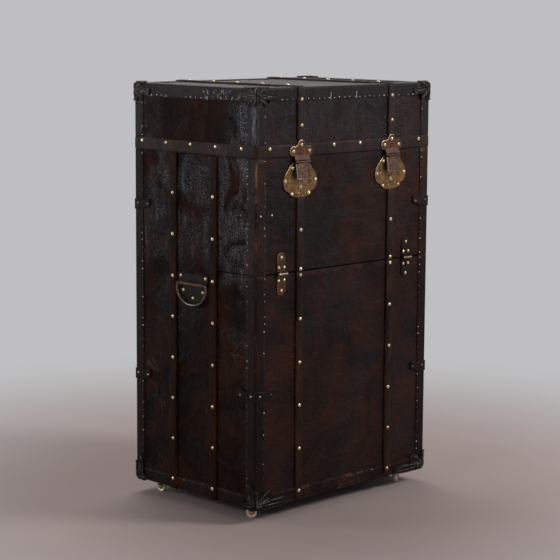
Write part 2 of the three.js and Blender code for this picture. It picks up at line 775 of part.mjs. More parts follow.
function lock_plate(name, across) {
  const tall = lock_foot - lock_top;
  const point = ([u, v]) => [across + u * lock_half_width, seam_z - lock_foot + v * tall];
  const half = lock_outline_shares;
  const outline = [...half, ...half.slice().reverse().map(([u, v]) => [-u, v])].map(point);
  const plate = solid(lay(slab(outline, lock_thickness), "front", 0, 0, gap));
  const [key_x, key_z] = point([0, keyhole_share]);
  const boss = disc(keyhole_radius, lock_thickness + keyhole_height, 0, 0);
  const collar = solid(lay(boss, "front", key_x, key_z, gap));
  const places = lock_nail_shares.flatMap(([u, v]) => [point([u, v]), point([-u, v])]);
  return piece(name, nailed(plate.add(collar), "front", gap + lock_thickness, places), "brass");
}

// D-shaped bail, whose pins turn in the ends of the handle plate's barrel
function handle_bail(side) {
  const inner_end = handle_barrel_half_length - bail_pin_length;
  const [half, drop, bend] = [bail_half_width, bail_drop, bail_bend];
  const point = (u, v) => new THREE.Vector3(u, v, 0);
  const arm = (sign) => {
    const curve = new THREE.CurvePath();
    curve.add(new THREE.QuadraticBezierCurve3(
      point(sign * (handle_barrel_half_length + bail_shoulder), 0), point(sign * half, 0),
      point(sign * half, -bend),
    ));
    curve.add(new THREE.CubicBezierCurve3(
      point(sign * half, -bend), point(sign * half, -drop * bail_corner_share),
      point(sign * half * bail_corner_share, -drop), point(0, -drop),
    ));
    return curve;
  };
  const right = arm(1).getSpacedPoints(bail_steps / 2);
  const left = arm(-1).getSpacedPoints(bail_steps / 2);
  const route = new THREE.CatmullRomCurve3([...right, ...left.reverse().slice(1)]);
  const section = new THREE.Shape(Array.from({ length: bail_sides }, (unused, i) => (
    new THREE.Vector2(bail_radius, 0).rotateAround(new THREE.Vector2(), 2 * Math.PI * i / bail_sides)
  )));
  const rod = new THREE.ExtrudeGeometry(section, {
    steps: bail_steps, extrudePath: route, bevelEnabled: false,
  });
  const pins = [-1, 1].map((sign) => {
    const span = [sign * inner_end, sign * (handle_barrel_half_length + bail_radius)];
    return solid(bar(bail_pin_radius, Math.min(...span), Math.max(...span)));
  });
  const place = faces[side].clone()
    .multiply(new THREE.Matrix4().makeTranslation(0, caster_height + handle_height, handle_proud));
  const bail = join([solid(rod), ...pins]).transform(place.elements.slice());
  return piece("handle_bail_" + side, bail, "iron");
}

// Swivel fork: a collar under the trunk, a crown, two cheeks and the axle between them
function caster_fork(name) {
  const under = caster_height - gap;
  const crown_low = 2 * wheel_radius + wheel_clearance;
  const crown_high = crown_low + fork_crown_thickness;
  const collar = turned([
    [0, crown_low], [swivel_radius, crown_low], [swivel_radius, under], [0, under],
  ], round_sides);
  const crown = turned([
    [0, crown_low], [fork_crown_radius, crown_low], [fork_crown_radius, crown_high], [0, crown_high],
  ], round_sides);
  const inner = wheel_width / 2 + wheel_clearance;
  const legs = [-1, 1].flatMap((sign) => {
    const eye = new THREE.CylinderGeometry(fork_eye_radius, fork_eye_radius, fork_thickness, round_sides);
    const middle = sign * (inner + fork_thickness / 2);
    eye.translate(caster_trail, middle, wheel_radius);
    const across = [middle - fork_thickness / 2, middle + fork_thickness / 2];
    const outline = slab([
      [-fork_eye_radius, crown_high], [caster_trail + fork_eye_radius * cap_valley_share, crown_high],
      [caster_trail + fork_eye_radius, wheel_radius], [caster_trail - fork_eye_radius, wheel_radius],
    ], fork_thickness);
    outline.rotateX(Math.PI / 2);
    outline.translate(0, across[1], 0);
    return [eye, outline];
  });
  const bridge = block(
    [-fork_eye_radius, caster_trail + fork_eye_radius * cap_valley_share],
    both(inner + fork_thickness), [crown_low, crown_high],
  );
  const axle = new THREE.CylinderGeometry(
    axle_radius, axle_radius, 2 * (inner + fork_thickness) + wheel_clearance, round_sides,
  );
  axle.translate(caster_trail, 0, wheel_radius);
  return piece(name, join([collar, crown, ...legs, bridge, axle].map(solid)), "iron");
}

function caster_wheel(name) {
  const bore = axle_radius + pin_clearance;
  const [half, rim, edge] = [wheel_width / 2, wheel_radius, wheel_chamfer];
  const profile = [
    [bore, -half], [rim - edge, -half], [rim, edge - half], [rim, half - edge],
    [rim - edge, half], [bore, half], [bore, -half],
  ];
  const wheel = turned(profile, wheel_sides);
  wheel.rotateX(Math.PI / 2);
  wheel.translate(caster_trail, 0, wheel_radius);
  return piece(name, solid(wheel), "wheel");
}

function caster(place, x_sign, y_sign) {
  const group = new THREE.Group();
  group.position.set(
    x_sign * (trunk_width / 2 - caster_inset), y_sign * (trunk_depth / 2 - caster_inset), 0,
  );
  group.rotation.z = caster_headings[place];
  group.add(caster_fork("caster_fork_" + place), caster_wheel("caster_wheel_" + place));
  return group;
}

const carcass = new THREE.Group();
carcass.add(...carcass_boards(), body_edge_binding(), ...body_slats(), garment_rail());
carcass.add(...corner_caps("bottom", -1));

const lid = new THREE.Group();
lid.add(...lid_boards(), lid_edge_binding(), lid_band(), ...corner_caps("top", 1));

const drop_front = new THREE.Group();
drop_front.add(
  fall_front(), drop_binding("drop_binding_left", -1), drop_binding("drop_binding_right", 1),
);

for (const [side, sign] of [["left", -1], ["right", 1]]) {
  const across = sign * hinge_spread;
  const slat_x = sign * slat_spread;
  const lid_leaf_base = band_proud + gap;
  carcass.add(
    handle_plate(side),
    hinge("drop_hinge_lower_" + side, "front", across, split_z, -1, gap, drop_hinge_proud, false),
    hinge("lid_hinge_lower_" + side, "back", -across, seam_z, -1, gap, lid_hinge_proud, false),
  );
  lid.add(
    lid_slat("lid_strip_" + side, slat_x),
    hasp_plate("hasp_plate_" + side, slat_x),
    hinge("lid_hinge_upper_" + side, "back", -across, seam_z, 1, lid_leaf_base, lid_hinge_proud, true),
  );
  drop_front.add(
    drop_slat("drop_strip_" + side, slat_x),
    lock_plate("lock_plate_" + side, slat_x),
    hinge("drop_hinge_upper_" + side, "front", across, split_z, 1, gap, drop_hinge_proud, true),
  );
  trunk.add(hasp_flap("hasp_flap_" + side, slat_x), handle_bail(side));
}

trunk.add(carcass, lid, drop_front, ...corners.map(([place, x, y]) => caster(place, x, y)));

export default trunk;
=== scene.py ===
import math
import random

import bmesh
import bpy
import numpy as np
from mathutils import Matrix, Vector, noise


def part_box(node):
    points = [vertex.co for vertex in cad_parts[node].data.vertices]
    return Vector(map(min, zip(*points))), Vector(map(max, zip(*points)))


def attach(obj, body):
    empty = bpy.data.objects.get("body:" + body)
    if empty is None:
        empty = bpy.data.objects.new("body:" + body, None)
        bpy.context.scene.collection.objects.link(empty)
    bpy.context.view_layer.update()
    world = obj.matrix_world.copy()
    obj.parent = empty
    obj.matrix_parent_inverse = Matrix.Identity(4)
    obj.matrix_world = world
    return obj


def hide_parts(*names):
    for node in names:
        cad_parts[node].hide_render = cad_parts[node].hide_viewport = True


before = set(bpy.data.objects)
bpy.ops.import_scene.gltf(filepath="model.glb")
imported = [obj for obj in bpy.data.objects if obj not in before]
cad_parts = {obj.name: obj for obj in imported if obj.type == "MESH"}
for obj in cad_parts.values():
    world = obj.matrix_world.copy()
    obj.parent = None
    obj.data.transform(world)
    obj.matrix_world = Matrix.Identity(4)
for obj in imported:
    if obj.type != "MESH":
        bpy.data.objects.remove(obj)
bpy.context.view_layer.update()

# Sizes in millimetres, as in the solid model. Geometry is made in them and ends in metres.
# The fall front starts at SPLIT and the lid at SEAM. SHIFT is how far back the trunk's middle lies.
MM = 0.001
WIDTH, DEPTH = 671, 477
HALF_W, HALF_D = WIDTH / 2, DEPTH / 2
FOOT, SPLIT, SEAM, CROWN = 39, 656, 959, 1139
BOARD, GAP, SEAM_GAP, SKIN = 10, 0.3, 0.6, 1.8
SPLIT_LOW, SPLIT_HIGH = SPLIT - SEAM_GAP / 2, SPLIT + SEAM_GAP / 2
SEAM_LOW, SEAM_HIGH = SEAM - SEAM_GAP / 2, SEAM + SEAM_GAP / 2
HALF_X, HALF_Y = HALF_W - SKIN, HALF_D - SKIN
BASE_Z, TOP_Z = FOOT + SKIN, CROWN - SKIN
CHEEK_Y = 144 - HALF_Y
LIP = 36
BAND_TOP = SEAM + 33.3
STRIP_X, SIDE_STRIP = 175.5, 79
STRIP_PROUD, BAND_PROUD = 5.3, 3.3
CLAMP_LOW, CLAMP_HIGH = FOOT + 302, FOOT + 773
SHEET = 2.5
SHIFT = (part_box("lid_rim")[0].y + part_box("lid_rim")[1].y) / 2 / MM

# Each face's right, up and outward directions, and the point that places on it are counted from
FACES = {
    "front": ((1, 0, 0), (0, 0, 1), (0, -1, 0), (0, -HALF_Y, 0)),
    "back": ((-1, 0, 0), (0, 0, 1), (0, 1, 0), (0, HALF_Y, 0)),
    "left": ((0, -1, 0), (0, 0, 1), (-1, 0, 0), (-HALF_X, 0, 0)),
    "right": ((0, 1, 0), (0, 0, 1), (1, 0, 0), (HALF_X, 0, 0)),
    "top": ((1, 0, 0), (0, 1, 0), (0, 0, 1), (0, 0, TOP_Z)),
    "bottom": ((-1, 0, 0), (0, 1, 0), (0, 0, -1), (0, 0, BASE_Z)),
}
SIGNS = (-1, 1)
SIDES = (("left", -1), ("right", 1))
CORNERS = [("front_left", -1, -1), ("front_right", 1, -1), ("back_left", -1, 1), ("back_right", 1, 1)]
rng = random.Random(11)


def place(face, across=0.0, up=0.0, out=0.0):
    """The matrix that lays local X, Y and Z along a face's right, up and outward directions."""
    right, high, outward, origin = (Vector(v) for v in FACES[face])
    rows = Matrix((right, high, outward)).transposed().to_4x4()
    rows.translation = origin + right * across + high * up + outward * out + Vector((0, SHIFT, 0))
    return rows


def moved(x, y, z):
    """The matrix of a shift."""
    return Matrix.Translation((x, y, z))


def turned(degrees, axis):
    """The matrix of a turn."""
    return Matrix.Rotation(math.radians(degrees), 4, axis)


def faces_at(x, y):
    """The two upright faces that meet at a corner."""
    return "front" if y < 0 else "back", "left" if x < 0 else "right"


def wobble(*values):
    """Smooth noise from about -1 to 1 at a point of up to three coordinates."""
    return noise.noise(Vector((*values, 0, 0)[:3]))


def into_scene(name, data):
    """A new object in the scene that shows this mesh, light or camera."""
    made = bpy.data.objects.new(name, data)
    bpy.context.scene.collection.objects.link(made)
    return made


class Part:
    """Collects closed shells, each with a finish number and a value of wear and painted light, for one
    object.
    """

    def __init__(self):
        self.points, self.faces, self.finishes, self.wear = [], [], [], []

    def add(self, shell, matrix=Matrix.Identity(4), finish=0, wear=0.0):
        """Add points and faces. A shell may bring a value of wear and painted light for each point and a
        finish for each face.
        """
        points, faces, *rest = shell
        start = len(self.points)
        self.points += [matrix @ Vector(point) for point in points]
        self.faces += [[start + i for i in face] for face in faces]
        self.wear += rest[0] if rest else [wear] * len(points)
        self.finishes += rest[1] if len(rest) > 1 else [finish] * len(faces)
        return self

    def nail(self, face, across, up, out, size, shine):
        """A nail's head on a face, as finish 1, with up to so much shine."""
        self.add(dome(*size), place(face, across, up, out), finish=1, wear=rng.random() * shine)

    def build(self, name, body, slot, materials, angle=38):
        """Make the object. Where a CAD node has its name, the object stands for that node."""
        mesh = bpy.data.meshes.new(name)
        mesh.from_pydata([p * MM for p in self.points], [], self.faces)
        for material in materials:
            mesh.materials.append(material)
        mesh.polygons.foreach_set("material_index", self.finishes)
        # The point value that the finishes read: wear, and in places painted highlights and painted shade.
        mesh.attributes.new("wear", "FLOAT", "POINT").data.foreach_set("value", self.wear)
        held = bmesh.new()
        held.from_mesh(mesh)
        bmesh.ops.recalc_face_normals(held, faces=held.faces)
        held.to_mesh(mesh)
        held.free()
        mesh.shade_smooth()
        mesh.set_sharp_from_angle(angle=math.radians(angle))
        has_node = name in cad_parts
        made = into_scene(name + "_dressed" if has_node else name, mesh)
        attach(made, body)
        if has_node:
            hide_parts(name)


# Shells of points and faces

def tube_faces(stops, count, closed=False):
    """The faces of a tube of rings with count points each, ended by caps unless it is a loop."""
    faces = []
    for k in range(stops if closed else stops - 1):
        a, b = k * count, (k + 1) % stops * count
        faces += [[a + i, a + (i + 1) % count, b + (i + 1) % count, b + i] for i in range(count)]
    if not closed:
        faces += [list(range(count)), [(stops - 1) * count + i for i in range(count)]]
    return faces


def lathe(profile, sides):
    """A profile of (radius, height) turned about Z."""
    points, faces, rings = [], [], []
    for radius, height in profile:
        count = 1 if radius == 0 else sides
        rings.append([len(points) + i for i in range(count)])
        turns = [2 * math.pi * i / sides for i in range(count)]
        points += [(radius * math.cos(turn), radius * math.sin(turn), height) for turn in turns]
    for one, two in zip(rings, rings[1:]):
        for i in range(sides):
            j = (i + 1) % sides
            quad = [one[i % len(one)], one[j % len(one)], two[j % len(two)], two[i % len(two)]]
            face = list(dict.fromkeys(quad))
            if len(face) > 2:
                faces.append(face)
    return points, faces


def rod(radius, low, high, sides=20, chamfer=0.4):
    """A turned rod about the local X axis."""
    points, faces = lathe([
        (0, low), (radius - chamfer, low), (radius, low + chamfer),
        (radius, high - chamfer), (radius - chamfer, high), (0, high),
    ], sides)
    return [(h, x, y) for x, y, h in points], faces


DOME_SHARES = [(1, 0.12), (0.93, 0.42), (0.72, 0.76), (0.38, 0.95), (0, 1)]


def dome(radius, height, sides=12):
    """The head of a nail, standing on the local XY plane and let in by 1 mm."""
    return lathe([(0, -1), (radius, -1)] + [(radius * r, height * h) for r, h in DOME_SHARES], sides)


def sweep(path, radii, sides):
    """A tube along a path, with a radius for each point."""
    path = [Vector(p) for p in path]
    points = []
    side = None
    for k, (at, radius) in enumerate(zip(path, radii)):
        ahead = (path[min(k + 1, len(path) - 1)] - path[max(k - 1, 0)]).normalized()
        if side is None:
            side = ahead.orthogonal().normalized()
        side = (side - ahead * side.dot(ahead)).normalized()
        other = ahead.cross(side)
        for i in range(sides):
            turn = 2 * math.pi * i / sides
            points.append(at + (side * math.cos(turn) + other * math.sin(turn)) * radius)
    return points, tube_faces(len(path), sides)


def plate(outline, low, high, bevel, rim=0.0, sink=0.0, cuts=()):
    """A flat plate with a softened upper edge. It can have a sunk field in a rim, and cuts across it."""
    held = bmesh.new()
    base = held.faces.new([held.verts.new((u, v, low)) for u, v in outline])
    grown = bmesh.ops.extrude_face_region(held, geom=[base])["geom"]
    crown = [e for e in grown if isinstance(e, bmesh.types.BMFace)][0]
    for vert in crown.verts:
        vert.co.z = high
    edges = list(crown.edges)
    bmesh.ops.recalc_face_normals(held, faces=held.faces)
    if sink:
        bmesh.ops.inset_region(held, faces=[crown], thickness=rim, depth=0)
        bmesh.ops.inset_region(held, faces=[crown], thickness=sink, depth=-sink)
    bmesh.ops.bevel(
        held, geom=edges, offset=bevel, segments=2, profile=0.5, affect="EDGES", clamp_overlap=True)
    for at in cuts:
        geom = list(held.verts) + list(held.edges) + list(held.faces)
        bmesh.ops.bisect_plane(held, geom=geom, plane_co=(at, 0, 0), plane_no=(1, 0, 0))
    held.verts.index_update()
    shell = [tuple(v.co) for v in held.verts], [[v.index for v in f.verts] for f in held.faces]
    held.free()
    return shell


RIM_NEAR, RIM_DEEP = 1.0, 1.2
LIT_WAY = Vector((-0.7, 0.7))


def rimmed(shell, outline, worn_and_lit, base):
    """The same plate, with wear along the upper rim of its outline, and a painted highlight that makes the
    rim lightest up and to the left.
    """
    points, faces = shell
    ends = [(Vector(a), Vector(b) - Vector(a)) for a, b in zip(outline, outline[1:] + outline[:1])]
    top = max(n for _, _, n in points)
    middle = sum((start for start, _ in ends), Vector((0, 0))) / len(ends)
    wear = []
    for u, v, n in points:
        away = []
        for start, run in ends:
            off = Vector((u, v)) - start
            share = max(0.0, min(1.0, off.dot(run) / max(run.dot(run), 1e-6)))
            away.append((off - run * share).length)
        on_rim = min(away) < RIM_NEAR and n > top - RIM_DEEP
        # Painted highlight: rim points on the side that faces up and to the left get up to four times as
        # much.
        facing_light = max(0.0, (Vector((u, v)) - middle).normalized().dot(LIT_WAY))
        wear_and_highlight = worn_and_lit * (0.3 + 0.9 * facing_light) * (0.85 + 0.9 * wobble(u / 8, v / 8, top))
        wear.append(max(0.0, wear_and_highlight) if on_rim else base)
    return points, faces, wear


def pressed(outline, back, rim, sink, worn_and_lit, base, bevel=0.7):
    """A sheet of metal with a rim round a sunk field, from its back outwards. The rim is lighter with wear,
    and lightest up and to the left as a painted highlight.
    """
    return rimmed(plate(outline, back, back + SHEET, bevel, rim, sink), outline, worn_and_lit, base)


def box(x, y, z, bevel=0.4):
    """A box between pairs of places along X, Y and Z, softened round its top."""
    return plate([(x[0], y[0]), (x[1], y[0]), (x[1], y[1]), (x[0], y[1])], z[0], z[1], bevel)


def mirrored(half):
    """The right half of an outline, followed by its mirror image."""
    return half + [(-u, v) for u, v in reversed(half) if u > 0]


def arc(centre, radius, start, end, count):
    """Points on a circle between two angles in degrees."""
    turns = [math.radians(a) for a in np.linspace(start, end, count)]
    return [(centre[0] + radius * math.cos(a), centre[1] + radius * math.sin(a)) for a in turns]


def smooth(points, steps):
    """A finer line through control points."""
    points = [Vector(p) for p in points]
    ends = [points[0] * 2 - points[1], *points, points[-1] * 2 - points[-2]]
    found = []
    for a, b, c, d in zip(ends, ends[1:], ends[2:], ends[3:]):
        for k in range(steps):
            t = k / steps
            found.append(0.5 * (2 * b + (c - a) * t + (2 * a - 5 * b + 4 * c - d) * t * t
                                + (3 * b - a - 3 * c + d) * t ** 3))
    return found + [points[-1]]


# Boards covered in leather outside and with cloth inside

GRID = 13
EDGE, EDGE_SHARE = 1.6, 0.7
WAVE, WAVE_LONG, WAVE_TALL = 0.5, 90, 70
SEAM_DIP, SEAM_RUN = 4.6, 2.8


def lines(*stops):
    """Grid lines between stops, with one close to each side of a stop for the softened edge."""
    found = []
    for low, high in zip(stops, stops[1:]):
        count = max(2, round((high - low) / GRID))
        runs = [SEAM_RUN if abs(stop - SPLIT) < SEAM_GAP else EDGE for stop in (low, high)]
        found += [low, *np.linspace(low + runs[0], high - runs[1], count)]
    return [*found, stops[-1]]


def board(part, face, us, vs, keep=None, finish=0):
    """A board whose outer face is leather over a slightly uneven core. The lining is finish 1."""
    columns, rows = len(us) - 1, len(vs) - 1
    kept = [[keep is None or keep((us[i] + us[i + 1]) / 2, (vs[j] + vs[j + 1]) / 2)
             for j in range(rows)] for i in range(columns)]
    seams = [v for v in (vs[0], vs[-1]) if abs(v - SPLIT) < SEAM_GAP]
    points, faces, finishes, wear, number = [], [], [], [], {}

    def cell(i, j):
        return 0 <= i < columns and 0 <= j < rows and kept[i][j]

    def wear_at(u, v, outer):
        # Points on the seam get -1, which the leather paints near-black: painted shade in the gap.
        if v in seams:
            return -1.0
        beside = outer and any(0 < seam - v < SEAM_RUN * 1.1 for seam in seams)
        return 0.35 + wobble(u / 30, v, 4.4) if beside else 0.0

    def vertex(i, j, outer):
        if (i, j, outer) not in number:
            u, v = us[i], vs[j]
            whole = cell(i, j) and cell(i - 1, j) and cell(i, j - 1) and cell(i - 1, j - 1)
            dip = WAVE * (1 + wobble(u / WAVE_LONG, v / WAVE_TALL, len(face))) if whole else EDGE
            dip = SEAM_DIP if v in seams else dip
            number[i, j, outer] = len(points)
            points.append((u, v, -dip * (1 if whole else EDGE_SHARE) if outer else -BOARD))
            wear.append(wear_at(u, v, outer))
        return number[i, j, outer]

    for i in range(columns):
        for j in range(rows):
            if not kept[i][j]:
                continue
            ring = [(i, j), (i + 1, j), (i + 1, j + 1), (i, j + 1)]
            faces.append([vertex(*p, True) for p in ring])
            faces.append([vertex(*p, False) for p in reversed(ring)])
            finishes += [finish, 1]
            for k, (di, dj) in enumerate([(0, -1), (1, 0), (0, 1), (-1, 0)]):
                if not cell(i + di, j + dj):
                    a, b = ring[k], ring[(k + 1) % 4]
                    faces.append([vertex(*a, False), vertex(*b, False), vertex(*b, True), vertex(*a, True)])
                    finishes.append(finish)
    return part.add((points, faces, wear, finishes), place(face))


# Strips and bindings of leather

STATION = 14
END_DIP, END_RUN = 1.3, 1.8
STRIP_SHARES = [
    (-0.5, 0), (-0.5, 0.55), (-0.465, 0.84), (-0.38, 0.98), (-0.15, 1.0), (0.15, 1.0),
    (0.38, 0.98), (0.465, 0.84), (0.5, 0.55), (0.5, 0),
]


def strip(part, stations, side, width, low, high, seed, closed=False):
    """A leather strip through stations of (point, outward direction)."""
    points, wear = [], []
    side = Vector(side)
    for k, (at, outward) in enumerate(stations):
        run = k * STATION / 60
        dip = END_DIP if not closed and k in (0, len(stations) - 1) else 0
        for w, t in STRIP_SHARES:
            edge = abs(w) > 0.4
            ragged = 0.25 * wobble(run * 4, seed, w * 9) if edge else 0
            drift = 0.35 * wobble(run, seed, 3.1 + (w > 0)) + ragged
            lift = 0.22 * wobble(run * 1.7, seed, w * 3) * t - dip * t
            height = low + (high - low) * t + lift
            points.append(Vector(at) + side * (w * width + drift) + Vector(outward) * height)
            wear.append(max(0, 0.3 + 0.9 * wobble(run * 1.3, seed, w)) if edge else 0.0)
    part.add((points, tube_faces(len(stations), len(STRIP_SHARES), closed), wear))


def straight(face, across, low, high):
    """Stations up a face."""
    laid = place(face)
    count = max(2, round((high - low) / STATION))
    levels = [low, *np.linspace(low + END_RUN, high - END_RUN, count), high]
    return [(laid @ Vector((across, up, 0)), FACES[face][2]) for up in levels]


CORNER_ROUND = 6


def round_path(corners, hand, closed=False):
    """Stations through corners of (across, up) with rounded turns. Outward is left for a hand of 1."""
    knots = []
    for k, here in enumerate(corners):
        here = Vector(here)
        if not closed and k in (0, len(corners) - 1):
            knots.append((here, None))
            continue
        back = (Vector(corners[k - 1]) - here).normalized()
        ahead = (Vector(corners[(k + 1) % len(corners)]) - here).normalized()
        centre = here + (back + ahead) * CORNER_ROUND
        for share in np.linspace(0, 1, 5):
            outward = -(ahead * (1 - share) + back * share).normalized()
            knots.append((centre + outward * CORNER_ROUND, outward))
    stations = []
    for (one, outward), (two, _) in zip(knots, knots[1:] + (knots[:1] if closed else [])):
        ahead = (two - one).normalized()
        beside = Vector((-ahead.y, ahead.x)) * hand
        steps = max(1, round((two - one).length / STATION))
        for k in range(steps):
            stations.append((one.lerp(two, k / steps), beside if k or outward is None else outward))
    return stations if closed else stations + [(knots[-1][0], beside)]


# The section of a binding, as distances in from the two faces that meet at its edge
BIND_ROUND, BIND_THICK, LIP_DIP = 5.5, 1.5, 0.7
BEND = [(BIND_ROUND - BIND_ROUND * math.sin(a), BIND_ROUND - BIND_ROUND * math.cos(a))
        for a in np.linspace(0, math.pi / 2, 6)]
WING = [(LIP, LIP_DIP)] + [(x, 0) for x in (LIP - 1.0, LIP * 0.72, LIP * 0.45, LIP * 0.25)]
OUTER = WING + BEND + [(y, x) for x, y in reversed(WING)]
INNER = [(BIND_THICK, LIP), (BIND_THICK, BIND_ROUND), (BIND_ROUND, BIND_THICK), (LIP, BIND_THICK)]


def binding(part, start, end, normals, seed, sunk, worn_and_lit=1.0, crumple=0.0, within=(0, 1)):
    """Leather bent over an edge from start to end, between two faces with these normals."""
    start, end = Vector(start), Vector(end)
    normal_a, normal_b = (Vector(normal) for normal in normals)
    length = (end - start).length
    inner_stops = np.linspace(END_RUN, length - END_RUN, max(2, round(length / STATION)))
    stops = [0, *inner_stops, length]
    points, wear = [], []
    for k, stop in enumerate(stops):
        at = start.lerp(end, stop / length) + Vector((0, SHIFT, 0))
        run = stop / 50
        dip = END_DIP if k in (0, len(stops) - 1) else 0
        folds = crumple if within[0] <= stop / length <= within[1] else crumple * 0.15
        for n, (x, y) in enumerate(OUTER + INNER):
            side = 1 if x > y else -1
            reach = max(x, y)
            at_lip = reach > LIP * 0.9
            drift = 0.8 * wobble(run, seed, side * 2.3) * at_lip
            dent = sunk
            if n < len(OUTER):
                dent += 0.3 * (0.5 + 0.5 * wobble(run * 1.4, seed, n)) + dip
            if 0 < n < len(OUTER) - 1:
                dent += folds * wobble(run * 6, seed, n * 0.8)
            dx = x + (drift if side > 0 else dent)
            dy = y + (drift if side < 0 else dent)
            if reach <= BIND_ROUND:
                dx, dy = x + dent * 0.7, y + dent * 0.7
            points.append(at - normal_b * dx - normal_a * dy)
            close = max(0.0, 1 - reach / (BIND_ROUND * 0.95))
            chafed = 0.45 + 1.3 * wobble(run * 0.8, seed, 7.7) + 0.5 * wobble(run * 5, seed, n)
            lip = 0.9 * at_lip * (wobble(run * 6, seed, side) + 0.05) + (folds - 0.5) * 0.6
            wear.append(min(1.0, max(0.0, close * worn_and_lit * chafed, lip * worn_and_lit, 0.4 * (dip > 0))))
    part.add((points, tube_faces(len(stops), len(OUTER + INNER)), wear))


# Procedural finishes

def srgb(code):
    """A linear colour from a hexadecimal sRGB value."""
    parts = [(code >> shift & 255) / 255 for shift in (16, 8, 0)]
    return (*[c / 12.92 if c <= 0.04045 else ((c + 0.055) / 1.055) ** 2.4 for c in parts], 1)


class Finish:
    """A node material with short calls for its textures, in object coordinates."""

    def __init__(self, name):
        self.material = bpy.data.materials.new(name)
        self.material.use_nodes = True
        self.tree = self.material.node_tree
        self.shader = self.tree.nodes["Principled BSDF"]
        self.coords = self.tree.nodes.new("ShaderNodeTexCoord").outputs["Object"]

    def feed(self, socket, value):
        """Link a socket, or set it. A colour socket takes a hexadecimal value."""
        if isinstance(value, bpy.types.NodeSocket):
            self.tree.links.new(value, socket)
        else:
            socket.default_value = srgb(value) if socket.type == "RGBA" else value

    def node(self, kind, values=(), **options):
        made = self.tree.nodes.new(kind)
        for key, value in options.items():
            setattr(made, key, value)
        for key, value in dict(values).items():
            self.feed(made.inputs[key], value)
        return made

    def spot(self):
        return self.node("ShaderNodeSeparateXYZ", {0: self.coords}).outputs

    def stretched(self, scale):
        return self.node("ShaderNodeMapping", {"Vector": self.coords, "Scale": scale}).outputs[0]

    def noise(self, scale, detail, rough=0.55, distort=0.0, stretch=None):
        vector = self.stretched(stretch) if stretch else self.coords
        return self.node("ShaderNodeTexNoise", {
            "Vector": vector, "Scale": scale, "Detail": detail, "Roughness": rough, "Distortion": distort,
        }).outputs["Fac"]

    def bent(self, share, scale):
        """Coordinates bent by a share of a coloured noise."""
        values = {"Vector": self.coords, "Scale": scale, "Detail": 3}
        push = self.mix(share, 0x000000, self.node("ShaderNodeTexNoise", values).outputs["Color"])
        return self.node("ShaderNodeVectorMath", {0: self.coords, 1: push}, operation="ADD").outputs[0]

    def cells(self, scale, feature="F1", vector=None):
        values = {"Vector": vector or self.coords, "Scale": scale}
        return self.node("ShaderNodeTexVoronoi", values, feature=feature).outputs["Distance"]

    def span(self, value, low, high, start=0.0, end=1.0, **options):
        """From start at a value of low to end at a value of high."""
        return self.node("ShaderNodeMapRange", {
            "Value": value, "From Min": low, "From Max": high, "To Min": start, "To Max": end,
        }, **options).outputs["Result"]

    def maths(self, operation, one, two=0.0):
        return self.node("ShaderNodeMath", {0: one, 1: two}, operation=operation).outputs[0]

    def times(self, one, two):
        return self.maths("MULTIPLY", one, two)

    def mix(self, share, one, two):
        return self.node("ShaderNodeMix", {0: share, 6: one, 7: two}, data_type="RGBA").outputs[2]

    def worn_and_lit(self):
        # Wear, and in places painted highlights and painted shade, from each point.
        return self.node("ShaderNodeAttribute", attribute_name="wear").outputs["Fac"]

    def bump(self, height, distance, normal=None):
        values = {"Height": height, "Distance": distance}
        if normal:
            values["Normal"] = normal
        return self.node("ShaderNodeBump", values).outputs["Normal"]

    def finish(self, colour, **values):
        names = {"specular": "Specular IOR Level"}
        self.feed(self.shader.inputs["Base Color"], colour)
        for key, value in values.items():
            self.feed(self.shader.inputs[names.get(key, key.capitalize())], value)
        return self.material


UPRIGHT, LEVEL = (1, 1, 0.22), (0.22, 1, 1)
COOL_GREY, GLINT_PALE, HIGHLIGHT_GREY, UPPER_GREY = 0x212224, 0xc6c8d0, 0x9a9da4, 0x4c4749
RUBBED, BARE, SEAM_SHADE = 0x6a4734, 0xcdb4a8, 0x050404


def leather_ground(f, dark, warm, run, soft, drawn, cool):
    """Clouds of warm colour, dark streaks and blots on them, and a cool veil in places."""
    clouds = f.span(f.noise(6, 6, 0.64, 0.9), 0.53 - soft, 0.53 + soft)
    streaks = f.span(f.noise(18, 6, 0.72, 0.4, run), 0.42, 0.66)
    blots = f.span(f.noise(38, 5, 0.7, 0.6), 0.46, 0.62)
    colour = f.mix(clouds, dark, warm)
    colour = f.mix(f.times(streaks, drawn), colour, dark)
    colour = f.mix(f.times(blots, 0.45), colour, dark)
    return f.mix(f.span(f.noise(5, 5, 0.62, 1.4, (1, 1, 0.6)), 0.5, 0.62, 0, cool), colour, COOL_GREY)


def painted_sheen_spots(f, brushed):
    """Where the pale painted sheen lies: its patches, its specks, and its reach, high up and near the
    borders.
    """
    spot = f.spot()
    patches = f.span(f.noise(8, 4, 0.55, 1.2), 0.38, 0.54)
    specks = f.times(f.span(f.noise(250, 6, 0.8, 0.3), 0.48, 0.57), f.span(brushed, 0, 1, 0.25, 1.0))
    off_middle = f.maths("ABSOLUTE", spot["Y"])
    border = f.times(f.span(off_middle, 0.07, 0.19, 0.6, 1.4), f.span(spot["Y"], 0.08, 0.18, 1.0, 0.4))
    on_lid = f.times(f.span(spot["Z"], 0.95, 1.0), f.span(off_middle, 0.09, 0.2, -1.0, 0.1))
    reach = f.times(f.span(spot["Z"], 0.45, 0.9, 0.08, 1.0), f.maths("ADD", border, on_lid))
    return patches, specks, reach


